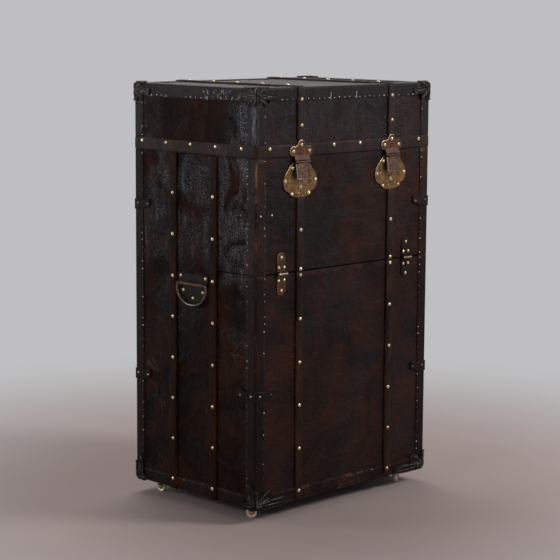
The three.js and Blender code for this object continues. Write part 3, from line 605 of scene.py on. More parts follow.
def leather(name, dark, warm, pale, gloss, sheen_strength, specular, run, cracks, soft, drawn, cool, glints=0.0):
    """Old oiled leather: clouds of warm colour, a pale painted sheen high up, painted glints if asked for,
    grain, creases and scuffs, painted shade towards the bottom, and near-black painted shade along the seam.
    """
    f = Finish(name)
    brushed = f.span(f.noise(60, 5, 0.75, 0.2, run), 0.46, 0.62)
    patches, specks, reach = painted_sheen_spots(f, brushed)
    painted_sheen = f.times(patches, f.times(specks, reach))
    colour = leather_ground(f, dark, warm, run, soft, drawn, cool)
    # Painted sheen: the pale colour laid over the leather in patches of specks, high up and near the borders.
    colour = f.mix(f.times(painted_sheen, sheen_strength), colour, pale)
    # Painted glints: tiny pale specks where the painted sheen lies.
    if glints:
        glint_mask = f.times(f.span(f.noise(240, 4, 0.75), 0.57, 0.62), f.times(patches, reach))
        colour = f.mix(f.times(glint_mask, glints), colour, GLINT_PALE)
    unbroken = f.span(f.noise(9, 3, 0.5), 0.56, 0.62)
    flat = f.span(f.cells(17, "DISTANCE_TO_EDGE", f.bent(0.04, 6)), 0.0, 0.035)
    flat = f.maths("MAXIMUM", flat, f.maths("SUBTRACT", 1.0, unbroken))
    crease = f.times(f.maths("SUBTRACT", 1.0, flat), f.span(specks, 0, 1, cracks * 0.2, cracks))
    colour = f.mix(crease, colour, pale)
    # Painted shade: the leather darkens towards the bottom, below 0.3 m.
    colour = f.mix(f.span(f.spot()["Z"], 0.3, 0.06, 0, 0.4), colour, dark)
    worn_and_lit = f.worn_and_lit()
    colour = f.mix(f.times(worn_and_lit, f.span(specks, 0, 1, 0.3, 1.0)), colour, RUBBED)
    # Painted shade: near-black where the point value is below zero, along the seam.
    colour = f.mix(f.span(worn_and_lit, 0, -0.7), colour, SEAM_SHADE)
    rough = f.span(f.noise(60, 6, 0.7, 0.5), 0.35, 0.68, gloss - 0.14, gloss + 0.2)
    rough = f.maths("SUBTRACT", rough, f.times(painted_sheen, 0.14))
    normal = f.bump(f.noise(330, 5, 0.7), 0.0012)
    normal = f.bump(f.cells(520), 0.0003, normal)
    normal = f.bump(flat, 0.0015 * cracks, normal)
    normal = f.bump(brushed, 0.0008 * drawn, normal)
    normal = f.bump(f.noise(70, 5, 0.6, 0.5), 0.0026, normal)
    normal = f.bump(f.noise(14, 4, 0.55, 0.6, run), 0.006, normal)
    return f.finish(colour, roughness=rough, normal=normal, specular=specular)


def trim(name, dark, warm, chafed, gloss, specular, upper_grey_share=0.0, highlight_edge=None):
    """Leather of strips and bindings, rubbed through to a lighter brown where it is worn, greyer towards the
    top, and with a painted highlight near an upright edge where one is given.
    """
    f = Finish(name)
    colour = f.mix(f.span(f.noise(20, 5, 0.62, 0.5, (1, 1, 0.3)), 0.38, 0.68), dark, warm)
    # Greyer towards the top, above 0.6 m.
    colour = f.mix(f.span(f.spot()["Z"], 0.6, 1.0, 0, upper_grey_share), colour, UPPER_GREY)
    speckle = f.span(f.noise(170, 6, 0.78), 0.4, 0.6)
    patch = f.span(f.noise(14, 4, 0.6), 0.42, 0.58)
    worn_and_lit = f.times(f.worn_and_lit(), f.times(speckle, f.span(patch, 0, 1, 0.35, 1.0)))
    colour = f.mix(f.span(worn_and_lit, 0.1, 0.6), colour, chafed)
    colour = f.mix(f.span(worn_and_lit, 0.62, 0.9), colour, BARE)
    rough = f.span(f.noise(48, 4, 0.6), 0.35, 0.7, gloss - 0.1, gloss + 0.2)
    # Painted highlight: grey streaks within about 12 mm of the given upright edge, a little glossier too.
    if highlight_edge:
        values = {0: f.stretched((1, 1, 0)), 1: highlight_edge}
        away = f.node("ShaderNodeVectorMath", values, operation="DISTANCE").outputs["Value"]
        streak = f.span(f.noise(150, 6, 0.75, 0.3, (1, 1, 0.25)), 0.44, 0.58)
        painted_highlight = f.times(f.span(away, 0.005, 0.012, 1, 0), streak)
        colour = f.mix(f.times(painted_highlight, 0.9), colour, HIGHLIGHT_GREY)
        rough = f.maths("SUBTRACT", rough, f.times(painted_highlight, 0.1))
    normal = f.bump(f.noise(260, 5, 0.7), 0.0012)
    normal = f.bump(f.cells(430), 0.0003, normal)
    normal = f.bump(f.noise(60, 4, 0.6, 0, (1, 1, 0.4)), 0.003, normal)
    return f.finish(colour, roughness=rough, normal=normal, specular=specular)


def metal(name, dark, mid, light, gloss, metallic, spots, relief=0.0004, specks=0.5, patchy=False):
    """Old metal with patches of tarnish, small pits, and a lighter colour where the point value is high: worn
    edges, and in places painted highlights.
    """
    f = Finish(name)
    if metallic < 0.5:
        f.feed(f.shader.inputs["Specular IOR Level"], metallic)
    patches = f.span(f.noise(spots, 6, 0.68, 0.8), 0.36, 0.66)
    fine = f.span(f.noise(spots * 5, 4, 0.7), 0.5, 0.72)
    colour = f.mix(f.times(fine, specks), f.mix(patches, dark, mid), light)
    worn_and_lit = f.span(f.worn_and_lit(), 0.2, 0.9)
    if patchy:
        worn_and_lit = f.times(worn_and_lit, f.span(f.noise(spots * 0.8, 5, 0.7), 0.42, 0.6))
    rough = f.span(patches, 0, 1, gloss + 0.16, gloss - 0.05)
    normal = f.bump(f.noise(spots * 6, 4, 0.6), relief)
    return f.finish(f.mix(worn_and_lit, colour, light), roughness=rough, normal=normal, metallic=metallic)


STRIPES = 26


def cloth(name, dark, light):
    """Linen lining with a thin woven stripe, in a pair of a wide and a narrow line."""
    f = Finish(name)
    weft, warp = ((1, 1, 0.12), (0.12, 0.12, 1))
    thread = f.times(f.noise(900, 1, 0.5, 0, weft), f.noise(900, 1, 0.5, 0, warp))
    colour = f.mix(f.span(f.noise(7, 6, 0.6), 0.3, 0.6), dark, light)
    colour = f.mix(f.span(thread, 0.18, 0.36, 0, 0.35), colour, light)
    spot = f.spot()
    along = f.maths("PINGPONG", f.times(f.maths("ADD", spot["X"], spot["Y"]), STRIPES), 0.5)
    off_line = f.maths("ABSOLUTE", f.maths("SUBTRACT", along, 0.36))
    stripe = f.maths("MAXIMUM", f.span(along, 0.44, 0.47), f.span(off_line, 0.025, 0.012))
    colour = f.mix(f.times(stripe, f.span(f.noise(300, 3), 0.35, 0.6, 0.25, 0.6)), colour, dark)
    return f.finish(colour, roughness=0.9, normal=f.bump(thread, 0.0006), specular=0.2)


def timber(name, dark, light):
    """Turned wood with its grain along X."""
    f = Finish(name)
    grain = f.noise(30, 6, 0.6, 1.2, (0.08, 1, 1))
    colour = f.mix(f.span(grain, 0.35, 0.68), dark, light)
    return f.finish(colour, roughness=f.span(grain, 0.3, 0.7, 0.38, 0.55), normal=f.bump(grain, 0.0004))


# The pale colour and the sheen strength of each leather set its painted sheen.
LEATHER_FRONT = leather(
    "leather_front", 0x191312, 0x4a271b, 0x4a464a, gloss=0.42, sheen_strength=0.6, specular=0.07, run=LEVEL,
    cracks=0.3, soft=0.18, drawn=0.35, cool=0.45)
LEATHER_SIDE = leather(
    "leather_side", 0x150b06, 0x40200f, 0xaaabb5, gloss=0.28, sheen_strength=0.9, specular=0.035, run=UPRIGHT,
    cracks=0.3, soft=0.1, drawn=0.7, cool=0.1, glints=0.6)
LEATHER_LID = leather(
    "leather_lid", 0x1d1618, 0x431f19, 0x56525a, gloss=0.38, sheen_strength=0.6, specular=0.12, run=UPRIGHT,
    cracks=0.3, soft=0.16, drawn=0.5, cool=0.5)
# The top's copy is the lightest: its own colour, with painted reflection of the bright surroundings on the
# grazing top.
LEATHER_TOP = leather(
    "leather_top", 0x312928, 0x4d3e38, 0x9a9591, gloss=0.42, sheen_strength=0.8, specular=0.36, run=LEVEL,
    cracks=0.15, soft=0.16, drawn=0.3, cool=0.3)

# Dark, warm and chafed colours, gloss, specular, and how much greyer towards the top. The lid's binding has a
# painted highlight near one upright edge.
NEAR_EDGE = (-HALF_X * MM, (SHIFT - HALF_Y + 7) * MM, 0)
BINDING = trim("binding_leather", 0x150e0c, 0x2e1a13, 0x86604e, 0.3, 0.08)
DROP_BINDING = trim("drop_binding_leather", 0x1a1210, 0x432519, 0x9c7a6a, 0.26, 0.1, 0.12)
LID_BINDING = trim("lid_binding_leather", 0x110b0b, 0x2a1712, 0x86604e, 0.22, 0.08, 0.4, NEAR_EDGE)
STRIP = trim("strip_leather", 0x1b120e, 0x41281a, 0x7a4f2e, 0.42, 0.08, 0.45)
SIDE_STRIP_LEATHER = trim("side_strip_leather", 0x130b08, 0x3b1d0e, 0x5c3a22, 0.42, 0.05, 0.16)
BAND = trim("band_leather", 0x211715, 0x402c24, 0x6b4529, 0.42, 0.12, 0.15)

# Dark, middle and light colours, gloss, metallic, spots, relief, specks, and whether wear is patchy
IRON = metal("black_iron", 0x17110f, 0x2b201c, 0x8d8078, 0.4, 0.4, 70)
BAIL = metal("handle_bail_iron", 0x140e0b, 0x553420, 0xd8d2cc, 0.15, 0.7, 22, 0.0001, 0.12)
CLAMP = metal("painted_iron", 0x130d0c, 0x231916, 0x857a74, 0.4, 0.07, 70, 0.0004, 0.2, True)
DROP_CLAMP = metal("worn_painted_iron", 0x1c1412, 0x30231f, 0x857a74, 0.4, 0.09, 70, 0.0004, 0.2, True)
# On the caps, the light colour that ribs, beads and nails take in patches is wear and painted highlight both.
CAP = metal("cap_iron", 0x0e0b0a, 0x1e1614, 0x8f8984, 0.24, 0.14, 90, 0.0009, 0.1, True)
FOOT_CAP = metal("foot_cap_iron", 0x0e0b0a, 0x1e1614, 0x726a65, 0.26, 0.1, 90, 0.0009, 0.1, True)
# Its pale colour and specks are painted highlights on glossy black.
GLAZE_HIGHLIGHTS = metal("glazed_leather_highlights", 0x0e0a0a, 0x2a1c18, 0xdcdee4, 0.16, 0.45, 120, 0.0008, 0.8, True)
COPPER = metal("coppered_iron", 0x34190f, 0x7a4830, 0xe0c4a6, 0.28, 0.7, 70, 0.0007, 0.3)
RUST = metal("rusty_iron", 0x27140d, 0x55311f, 0xc79c70, 0.36, 0.5, 40, 0.0006, 0.3)
DARK_HINGE = metal("dark_hinge_iron", 0x17100e, 0x2a1d18, 0x6e5a4c, 0.4, 0.1, 60, 0.0004, 0.3, True)
PLATE = metal("handle_iron", 0x120e0d, 0x211a19, 0x9a6240, 0.36, 0.12, 80, 0.0004, 0.12)
ROLL = metal("handle_roll", 0x2c180e, 0x613821, 0x8a5a3a, 0.34, 0.25, 40, 0.0004, 0.2)
PIN = metal("bright_steel", 0x4c4037, 0x877869, 0xd6c8b6, 0.3, 0.7, 60, 0.0003)
BRASS = metal("aged_brass", 0x422812, 0x9c7040, 0xf4dcae, 0.26, 0.75, 60, 0.0009, 0.3)
# The hub's brass is lighter than its own colour: painted light that makes up for the trunk's shadow on the
# casters.
HUB = metal("hub_brass", 0x9c7438, 0xd4aa5c, 0xffeabc, 0.2, 0.5, 80, 0.0003, 0.3)
KNUCKLE = metal("hasp_knuckle", 0x2a160c, 0x5e3620, 0xa8866c, 0.38, 0.45, 70, 0.0007, 0.3)
NAIL = metal("nail_brass", 0xb8965c, 0xf4deb0, 0xfff9ea, 0.14, 0.7, 40, 0.0002)
TACK = metal("tack_steel", 0x2a2321, 0x4f4641, 0xf0e9e0, 0.3, 0.5, 60, 0.0002)
STEEL = metal("flap_steel", 0x24140f, 0x6c4c3e, 0xd0c0b6, 0.3, 0.6, 26, 0.0012, 0.12)
# The wheels' cream is their own colour, made lighter still as painted light that makes up for the trunk's
# shadow on them.
WHEEL = metal("wheel_cream", 0xe6dac2, 0xfff6e4, 0xffffff, 0.3, 0.2, 40, 0.0002)
LINING = cloth("lining_cloth", 0x4a3829, 0x7c684f)
WOOD = timber("turned_wood", 0x3c2414, 0x7a5231)


# Carcass, fall front and lid boards

cheek_cut = CHEEK_Y + SEAM_GAP
for face, sign in SIDES:
    us = lines(*sorted(sign * u for u in (-HALF_Y, cheek_cut, HALF_Y)))
    vs = lines(BASE_Z, SPLIT_LOW, SEAM_LOW)
    part = board(Part(), face, us, vs, keep=lambda u, v: v < SPLIT_LOW or sign * u > cheek_cut)
    part.build(face + "_side_panel", "carcass", "leather", [LEATHER_SIDE, LINING])

between = lines(GAP + BOARD - HALF_X, HALF_X - GAP - BOARD)
bottom_rows = lines(GAP + BOARD - HALF_Y, HALF_Y - GAP - BOARD)
wide, deep = lines(-HALF_X, HALF_X), lines(-HALF_Y, HALF_Y)
for name, face, us, vs, body, slot, cover in (
    ("back_panel", "back", between, lines(BASE_Z, SEAM_LOW), "carcass", "leather", LEATHER_FRONT),
    ("lower_front_panel", "front", between, lines(BASE_Z, SPLIT_LOW), "carcass", "leather", LEATHER_FRONT),
    ("bottom_panel", "bottom", between, bottom_rows, "carcass", "lining", LEATHER_FRONT),
    ("lid_top_panel", "top", wide, deep, "lid", "leather", LEATHER_TOP),
):
    board(Part(), face, us, vs).build(name, body, slot, [cover, LINING])

drop_rows = lines(SPLIT_HIGH, SEAM_LOW)
shell = board(Part(), "front", wide, drop_rows)
board(shell, "left", lines(-CHEEK_Y, HALF_Y), drop_rows, finish=2)
board(shell, "right", lines(-HALF_Y, CHEEK_Y), drop_rows, finish=2)
shell.build("drop_front_shell", "drop_front", "leather", [LEATHER_FRONT, LINING, LEATHER_SIDE])

rim_rows = lines(SEAM_HIGH, TOP_Z - BOARD - GAP)
rim = Part()
for face, us, finish in (("front", wide, 0), ("back", wide, 0), ("left", deep, 2), ("right", deep, 2)):
    board(rim, face, us, rim_rows, finish=finish)
rim.build("lid_rim", "lid", "leather", [LEATHER_LID, LINING, LEATHER_SIDE])


# Bindings over the edges, and pads under the bottom for the casters

LAP = 0.25
PAD_EDGE = 75
BETWEEN_STRIPS = (0.25, 0.75)
carcass_bind, lid_bind = Part(), Part()
drop_binds = {-1: Part(), 1: Part()}
for number, (_, x, y) in enumerate(CORNERS):
    normals = [FACES[face][2] for face in faces_at(x, y)]
    spot = (x * HALF_W, y * HALF_D)
    high = SPLIT_LOW if y < 0 else SEAM_LOW
    binding(carcass_bind, (*spot, FOOT), (*spot, high), normals, number + 1, LAP, 0.8)
    binding(lid_bind, (*spot, BAND_TOP + GAP), (*spot, CROWN), normals, number + 11, LAP)
    if y < 0:
        worn_and_lit, crumple = (2.6, 0.45) if x < 0 else (0.9, 0.1)
        ends = (*spot, SPLIT_HIGH), (*spot, SEAM_LOW)
        binding(drop_binds[x], *ends, normals, number + 21, LAP, worn_and_lit, crumple)
for bind, level, end_face, seed in ((carcass_bind, FOOT, "bottom", 31), (lid_bind, CROWN, "top", 41)):
    for y, face in ((-HALF_D, "front"), (HALF_D, "back")):
        crumple = 0.9 if level == FOOT and y < 0 else 0.25
        ends = (-HALF_W, y, level), (HALF_W, y, level)
        normals = FACES[face][2], FACES[end_face][2]
        binding(bind, *ends, normals, seed + y / 100, 0, 1.1, crumple, BETWEEN_STRIPS)
    for x, face in ((-HALF_W, "left"), (HALF_W, "right")):
        crumple = 0.7 if level == CROWN and x < 0 else 0.15
        ends = (x, -HALF_D, level), (x, HALF_D, level)
        normals = FACES[face][2], FACES[end_face][2]
        binding(bind, *ends, normals, seed + x / 100, 0, 1.1, crumple)
for _, x, y in CORNERS:
    spans = [sorted((s * (half - LIP - 1), s * (half - PAD_EDGE))) for s, half in ((x, HALF_W), (y, HALF_D))]
    carcass_bind.add(box(*spans, (FOOT, FOOT + BIND_THICK)), moved(0, SHIFT, 0))
carcass_bind.build("body_edge_binding", "carcass", "binding", [BINDING], 50)
lid_bind.build("lid_edge_binding", "lid", "binding", [LID_BINDING], 50)
for side, sign in SIDES:
    drop_binds[sign].build("drop_binding_" + side, "drop_front", "binding", [DROP_BINDING], 50)


# Angle clamps, bent over the upright edges

CLAMP_ROUND, CLAMP_OUT, CLAMP_BACK = 6.0, 3.8, 1.2
CLAMP_HALF = [
    (8, 11), (20, 12.5), (30, 11), (38, 9.5), (46, 12), (54, 15), (61, 15), (64, 10), (66, 0),
    (62, -7), (54, -9), (46, -10), (38, -14), (28, -12), (18, -15), (8, -17),
]


def clamp(part, x, y, level):
    turn = CLAMP_ROUND * math.pi / 4
    cuts = [turn * k / 3 for k in range(-3, 4)]
    outline = mirrored(CLAMP_HALF)
    flat = plate(outline, CLAMP_BACK, CLAMP_OUT, 0.6, 1.4, 0.3, cuts)
    points, faces, wear = rimmed(flat, outline, 0.75, 0.05)
    # Painted highlight: the upper half of the rim keeps most of its value and the lower half little, so the
    # top edge shows as a bright line.
    wear = [worn_and_lit * (0.1 if v < 0 else 0.75) for (_, v, _), worn_and_lit in zip(points, wear)]
    corner = Vector((x * (HALF_X + CLAMP_OUT), y * (HALF_Y + CLAMP_OUT) + SHIFT, level))
    bent = []
    for s, v, n in points:
        reach = max(0.0, abs(s) - turn)
        angle = math.pi / 4 + max(-1.0, min(1.0, s / turn)) * math.pi / 4
        radius = CLAMP_ROUND - (CLAMP_OUT - n)
        a = CLAMP_ROUND - radius * math.sin(angle) + (0 if s > 0 else reach)
        b = CLAMP_ROUND - radius * math.cos(angle) + (reach if s > 0 else 0)
        bent.append(corner + Vector((-x * a, -y * b, v)))
    part.add((bent, faces, wear))


carcass_clamps, drop_clamps = Part(), Part()
for _, x, y in CORNERS:
    clamp(carcass_clamps, x, y, CLAMP_LOW)
for x in SIGNS:
    clamp(carcass_clamps, x, 1, CLAMP_HIGH)
    clamp(drop_clamps, x, -1, CLAMP_HIGH)
carcass_clamps.build("body_edge_clamps", "carcass", "iron", [CLAMP])
drop_clamps.build("drop_edge_clamps", "drop_front", "iron", [DROP_CLAMP])


# Strips and the band round the lid's foot

STRIP_WIDE, SIDE_STRIP_WIDE, BAND_WIDE = 25, 28, 33
STRIP_STOP = SEAM - 2 * SEAM_GAP
LOCK_FOOT = 107
for side, sign in SIDES:
    x, y = sign * STRIP_X, sign * SIDE_STRIP
    for name, face, across, low, high, body in (
        ("lower_strip_" + side, "front", x, FOOT, SPLIT_LOW, "carcass"),
        ("back_strip_" + side, "back", -x, FOOT, STRIP_STOP, "carcass"),
        ("drop_strip_" + side, "front", x, SPLIT_HIGH, SEAM - LOCK_FOOT - SEAM_GAP, "drop_front"),
        (side + "_strip_front", side, -y, FOOT, STRIP_STOP, "carcass"),
        (side + "_strip_back", side, y, FOOT, STRIP_STOP, "carcass"),
    ):
        part = Part()
        width, finish = (SIDE_STRIP_WIDE, SIDE_STRIP_LEATHER) if face == side else (STRIP_WIDE, STRIP)
        stations = straight(face, across, low, high)
        strip(part, stations, FACES[face][0], width, GAP, STRIP_PROUD, len(name) + across)
        part.build(name, body, "slat", [finish], 50)

    part = Part()
    route = [(-HALF_Y, SEAM + 43.6), (-HALF_Y, TOP_Z), (HALF_Y, TOP_Z), (HALF_Y, BAND_TOP + GAP)]
    stations = [(Vector((x, at.x + SHIFT, at.y)), Vector((0, *out))) for at, out in round_path(route, 1)]
    strip(part, stations, (1, 0, 0), STRIP_WIDE, GAP + 0.4, STRIP_PROUD, 5 + sign)
    part.build("lid_strip_" + side, "lid", "slat", [STRIP], 50)

band = Part()
route = [(-HALF_X, -HALF_Y), (HALF_X, -HALF_Y), (HALF_X, HALF_Y), (-HALF_X, HALF_Y)]
middle = (SEAM_HIGH + BAND_TOP) / 2
ring = round_path(route, -1, True)
stations = [(Vector((at.x, at.y + SHIFT, middle)), Vector((*out, 0))) for at, out in ring]
strip(band, stations, (0, 0, 1), BAND_WIDE, GAP - 1.5, BAND_PROUD, 9, True)
band.build("lid_band", "lid", "band", [BAND], 50)


# Nails and tacks

NAIL_SIZE, CLAMP_TACK, CLAMP_TACKS_IN = (5.2, 3.0), (2.7, 1.9), (15, 55)
LOW_NAIL, SIDE_LOW_NAIL, HIGH_NAIL = FOOT + 26, FOOT + 29, SEAM - 107
LID_NAILS, DROP_NAILS = [TOP_Z - 30, TOP_Z - 97], [SPLIT + 8, SPLIT + 111]
CROWN_NAIL_IN = 49
BAND_NAIL_Z, BAND_NAILS_X, BAND_NAIL_IN, BAND_NAIL_PITCH = SEAM + 24.3, (289, 51), 53, 97.5
nails, tacks = ({body: Part() for body in ("carcass", "lid", "drop_front")} for _ in range(2))


def drive(body, face, across, up, out, size=NAIL_SIZE, kind=nails, shine=0.5):
    """A nail, a little tilted, shifted and larger or smaller, with up to so much shine."""
    tilt_x, tilt_y = (Matrix.Rotation(rng.uniform(-0.08, 0.08), 4, axis) for axis in "XY")
    grown = rng.uniform(0.94, 1.05)
    across += rng.uniform(-0.7, 0.7)
    up += rng.uniform(-0.7, 0.7)
    head = dome(size[0] * grown, size[1])
    kind[body].add(head, place(face, across, up, out) @ (tilt_x @ tilt_y), wear=rng.uniform(0, shine))


for sign in SIGNS:
    x, y = sign * STRIP_X, sign * SIDE_STRIP
    side_levels = np.linspace(SIDE_LOW_NAIL, HIGH_NAIL, 8)
    for body, face, across, levels in (
        ("carcass", "front", x, np.linspace(LOW_NAIL, SPLIT - 9, 6)),
        ("carcass", "back", x, np.linspace(LOW_NAIL, HIGH_NAIL, 8)),
        ("drop_front", "front", x, DROP_NAILS),
        ("lid", "front", x, LID_NAILS),
        ("lid", "back", x, LID_NAILS),
        ("lid", "top", x, np.linspace(CROWN_NAIL_IN - HALF_D, HALF_D - CROWN_NAIL_IN, 5)),
        ("carcass", "left", y, side_levels),
        ("carcass", "right", y, side_levels),
    ):
        for up in levels:
            drive(body, face, across, up, STRIP_PROUD)
    for across in BAND_NAILS_X:
        for face in ("front", "back"):
            drive("lid", face, sign * across, BAND_NAIL_Z, BAND_PROUD)
for k in range(5):
    along = BAND_NAIL_IN - HALF_D + k * BAND_NAIL_PITCH
    for face, sign in SIDES:
        drive("lid", face, sign * along, BAND_NAIL_Z, BAND_PROUD)
for _, x, y in CORNERS:
    front, side = faces_at(x, y)
    for level in (CLAMP_LOW, CLAMP_HIGH):
        body = "drop_front" if y < 0 and level == CLAMP_HIGH else "carcass"
        for reach in CLAMP_TACKS_IN:
            drive(body, front, -y * x * (HALF_W - reach), level, CLAMP_OUT, CLAMP_TACK, tacks, 1.0)
            drive(body, side, x * y * (HALF_D - reach), level, CLAMP_OUT, CLAMP_TACK, tacks, 1.0)

TACK_R, TACK_H, TACK_PITCH, TACK_IN = 1.6, 1.0, 19.5, 31.5


def tack_line(body, face, start, end, avoid=(), shine=0.35):
    """Small tacks between two points of a face, left out near the fittings."""
    start, end = Vector(start), Vector(end)
    count = max(2, round((end - start).length / TACK_PITCH))
    for k in range(count + 1):
        spot = start.lerp(end, k / count) + Vector((rng.uniform(-1.2, 1.2), rng.uniform(-1.2, 1.2)))
        if any(low_u < spot.x < high_u and low_v < spot.y < high_v for low_u, high_u, low_v, high_v in avoid):
            continue
        radius = TACK_R * rng.uniform(0.75, 1.15)
        bright = 1.0 if rng.random() < shine else 0.0
        tacks[body].add(dome(radius, TACK_H, 7), place(face, spot.x, spot.y, SKIN - 0.2), wear=bright)


WHOLE = 2000
clamps = [(-WHOLE, WHOLE, level - 22, level + 22) for level in (CLAMP_LOW, CLAMP_HIGH)]
for face, half, strip_at, gap_half, foot_stop in (
    ("front", HALF_W, STRIP_X, 14, 104), ("back", HALF_W, STRIP_X, 14, 104),
    ("left", HALF_D, SIDE_STRIP, 16, 60), ("right", HALF_D, SIDE_STRIP, 16, 60),
):
    strips = [(s * strip_at - gap_half, s * strip_at + gap_half, 0, WHOLE) for s in SIGNS]
    for s in SIGNS:
        u = s * (half - TACK_IN)
        on_drop = face == "front" or (face, s) in (("left", 1), ("right", -1))
        tack_line("carcass", face, (u, FOOT + 62), (u, SPLIT - 8 if on_drop else SEAM - 10), clamps)
        if on_drop:
            tack_line("drop_front", face, (u, SPLIT + 9), (u, SEAM - 8), clamps, 0.6)
        tack_line("lid", face, (u, BAND_TOP + 8), (u, CROWN - 52))
    for body, level, edge, shine in (
        ("lid", CROWN - TACK_IN, half - 72, 0.8), ("carcass", FOOT + TACK_IN, half - foot_stop, 0.1),
    ):
        tack_line(body, face, (-edge, level), (edge, level), strips, shine)


# Hinges

HINGE_X, HINGE_HALF, HINGE_SPLIT, HINGE_GAP = 243.5, 16, 6, 0.3
DROP_PROUD, LID_PROUD, TONGUE = 8, 9, 7.2
HINGE_R, PIN_R, PIN_OVER = 4, 1.6, 0.6
LEAF_HALF = [(HINGE_HALF, 5.6), (HINGE_HALF, 30), (15.4, 38), (14.6, 44), (12, 50), (8, 54), (4, 55)]
LEAF_NAILS, HINGE_NAIL = ((0, 44), (-10, 17), (10, 17)), (4.6, 2.5)


def hinge(name, body, face, across, level, up, base, proud, finishes):
    """Half a hinge: the upper one has the middle knuckle, and the lower one the outer two and the pin."""
    matrix = place(face, across, level, proud) @ Matrix.Diagonal((1, up, 1, 1))
    part = Part()
    low = base - proud
    part.add(pressed(mirrored(LEAF_HALF), low, 1.5, 0.35, 0.7, 0.15, 0.6), matrix)
    middle = HINGE_SPLIT - HINGE_GAP
    outer = [(-HINGE_HALF, -HINGE_SPLIT), (HINGE_SPLIT, HINGE_HALF)]
    for span in [(-middle, middle)] if up > 0 else outer:
        part.add(box(span, (0, TONGUE), (low, low + SHEET)), matrix)
        part.add(box(span, (0, SHEET), (low, 0)), matrix)
        part.add(rod(HINGE_R, *span), matrix, finish=2, wear=0.3)
    if up < 0:
        part.add(rod(PIN_R, -HINGE_HALF - PIN_OVER, HINGE_HALF + PIN_OVER, 12), matrix, finish=2)
    for u, v in LEAF_NAILS:
        part.nail(face, across + u, level + up * v, base + SHEET, HINGE_NAIL, 0.5)
    part.build(name, body, "copper", finishes)


for side, sign in SIDES:
    x = sign * HINGE_X
    drop_finishes = [RUST, NAIL, PIN] if sign < 0 else [DARK_HINGE, NAIL, COPPER]
    lid_finishes = [RUST, NAIL, PIN]
    hinge("drop_hinge_lower_" + side, "carcass", "front", x, SPLIT, -1, GAP, DROP_PROUD, drop_finishes)
    hinge("drop_hinge_upper_" + side, "drop_front", "front", x, SPLIT, 1, GAP, DROP_PROUD, drop_finishes)
    hinge("lid_hinge_lower_" + side, "carcass", "back", -x, SEAM, -1, GAP, LID_PROUD, lid_finishes)
    hinge("lid_hinge_upper_" + side, "lid", "back", -x, SEAM, 1, BAND_PROUD + GAP, LID_PROUD, lid_finishes)


# Hasps: plate on the lid, flap, and lock plate on the fall front

HASP_DROP, HASP_OUT, HASP_NECK = 14, 11, 27
HASP_BACK = BAND_PROUD + GAP
HASP_LUG, LUG_TOP, KNUCKLE_R = 16, -8.6, 3.5
LOBE_R, LOBES, HASP_NAIL = 13, ((0, 30), (-29, 14), (29, 14)), (5.4, 3.4)


def hasp_outline():
    top, left, right = LOBES
    outline = [(HASP_NECK, 1), (HASP_NECK + 0.5, 3)] + arc(right, LOBE_R, -72, 118, 12)
    outline += arc(top, LOBE_R, 4, 176, 12) + arc(left, LOBE_R, 62, 252, 12)
    return outline + [(-HASP_NECK - 0.5, 3), (-HASP_NECK, 1)]


def hasp_plate(name, across):
    """A plate of three lobes, cranked outwards below them, with two lugs and the pin."""
    part = Part()
    matrix = place("front", across, SEAM)
    part.add(pressed(hasp_outline(), HASP_BACK, 2.0, 0.7, 1.0, 0.05), matrix)
    inside = HASP_OUT - SHEET
    profile = [(-8.9, inside), (-8, inside), (0.6, HASP_BACK), (5, HASP_BACK), (5, HASP_BACK + SHEET),
               (3.5, HASP_BACK + SHEET + 0.1), (-7.4, HASP_OUT), (-8.9, HASP_OUT)]
    points = [(u, v, n) for u in (-HASP_NECK, HASP_NECK) for v, n in profile]
    part.add((points, tube_faces(2, len(profile))), matrix, finish=2)
    on_pin = matrix @ moved(0, -HASP_DROP, HASP_OUT)
    for sign in SIGNS:
        span = sorted((sign * HASP_LUG, sign * HASP_NECK))
        part.add(box(span, (-HASP_DROP, LUG_TOP), (inside, HASP_OUT)), matrix, finish=2)
        part.add(rod(KNUCKLE_R, *span), on_pin, finish=2, wear=0.1)
    part.add(rod(PIN_R, -HASP_NECK - 0.7, HASP_NECK + 0.7, 12), on_pin, finish=2)
    for u, v in LOBES:
        part.nail("front", across + u, SEAM + v, HASP_BACK + 1.8, HASP_NAIL, 0.4)
    part.build(name, "lid", "copper", [COPPER, NAIL, KNUCKLE])


FLAP_LONG, FLAP_TOP, FLAP_TILT = 46, 5.1, 7
FLAP_HALF, FLAP_TAPER, FLAP_CROWN, FLAP_ROLL, FLAP_THICK = 25, 2, 1.1, 1.3, 1.9
FLAP_LIP_R, FLAP_LIP_HALF = 1.9, 22.6
FLAP_KNUCKLE = HASP_LUG - 0.3
ACROSS_STEPS, DOWN_STEPS = 15, 12


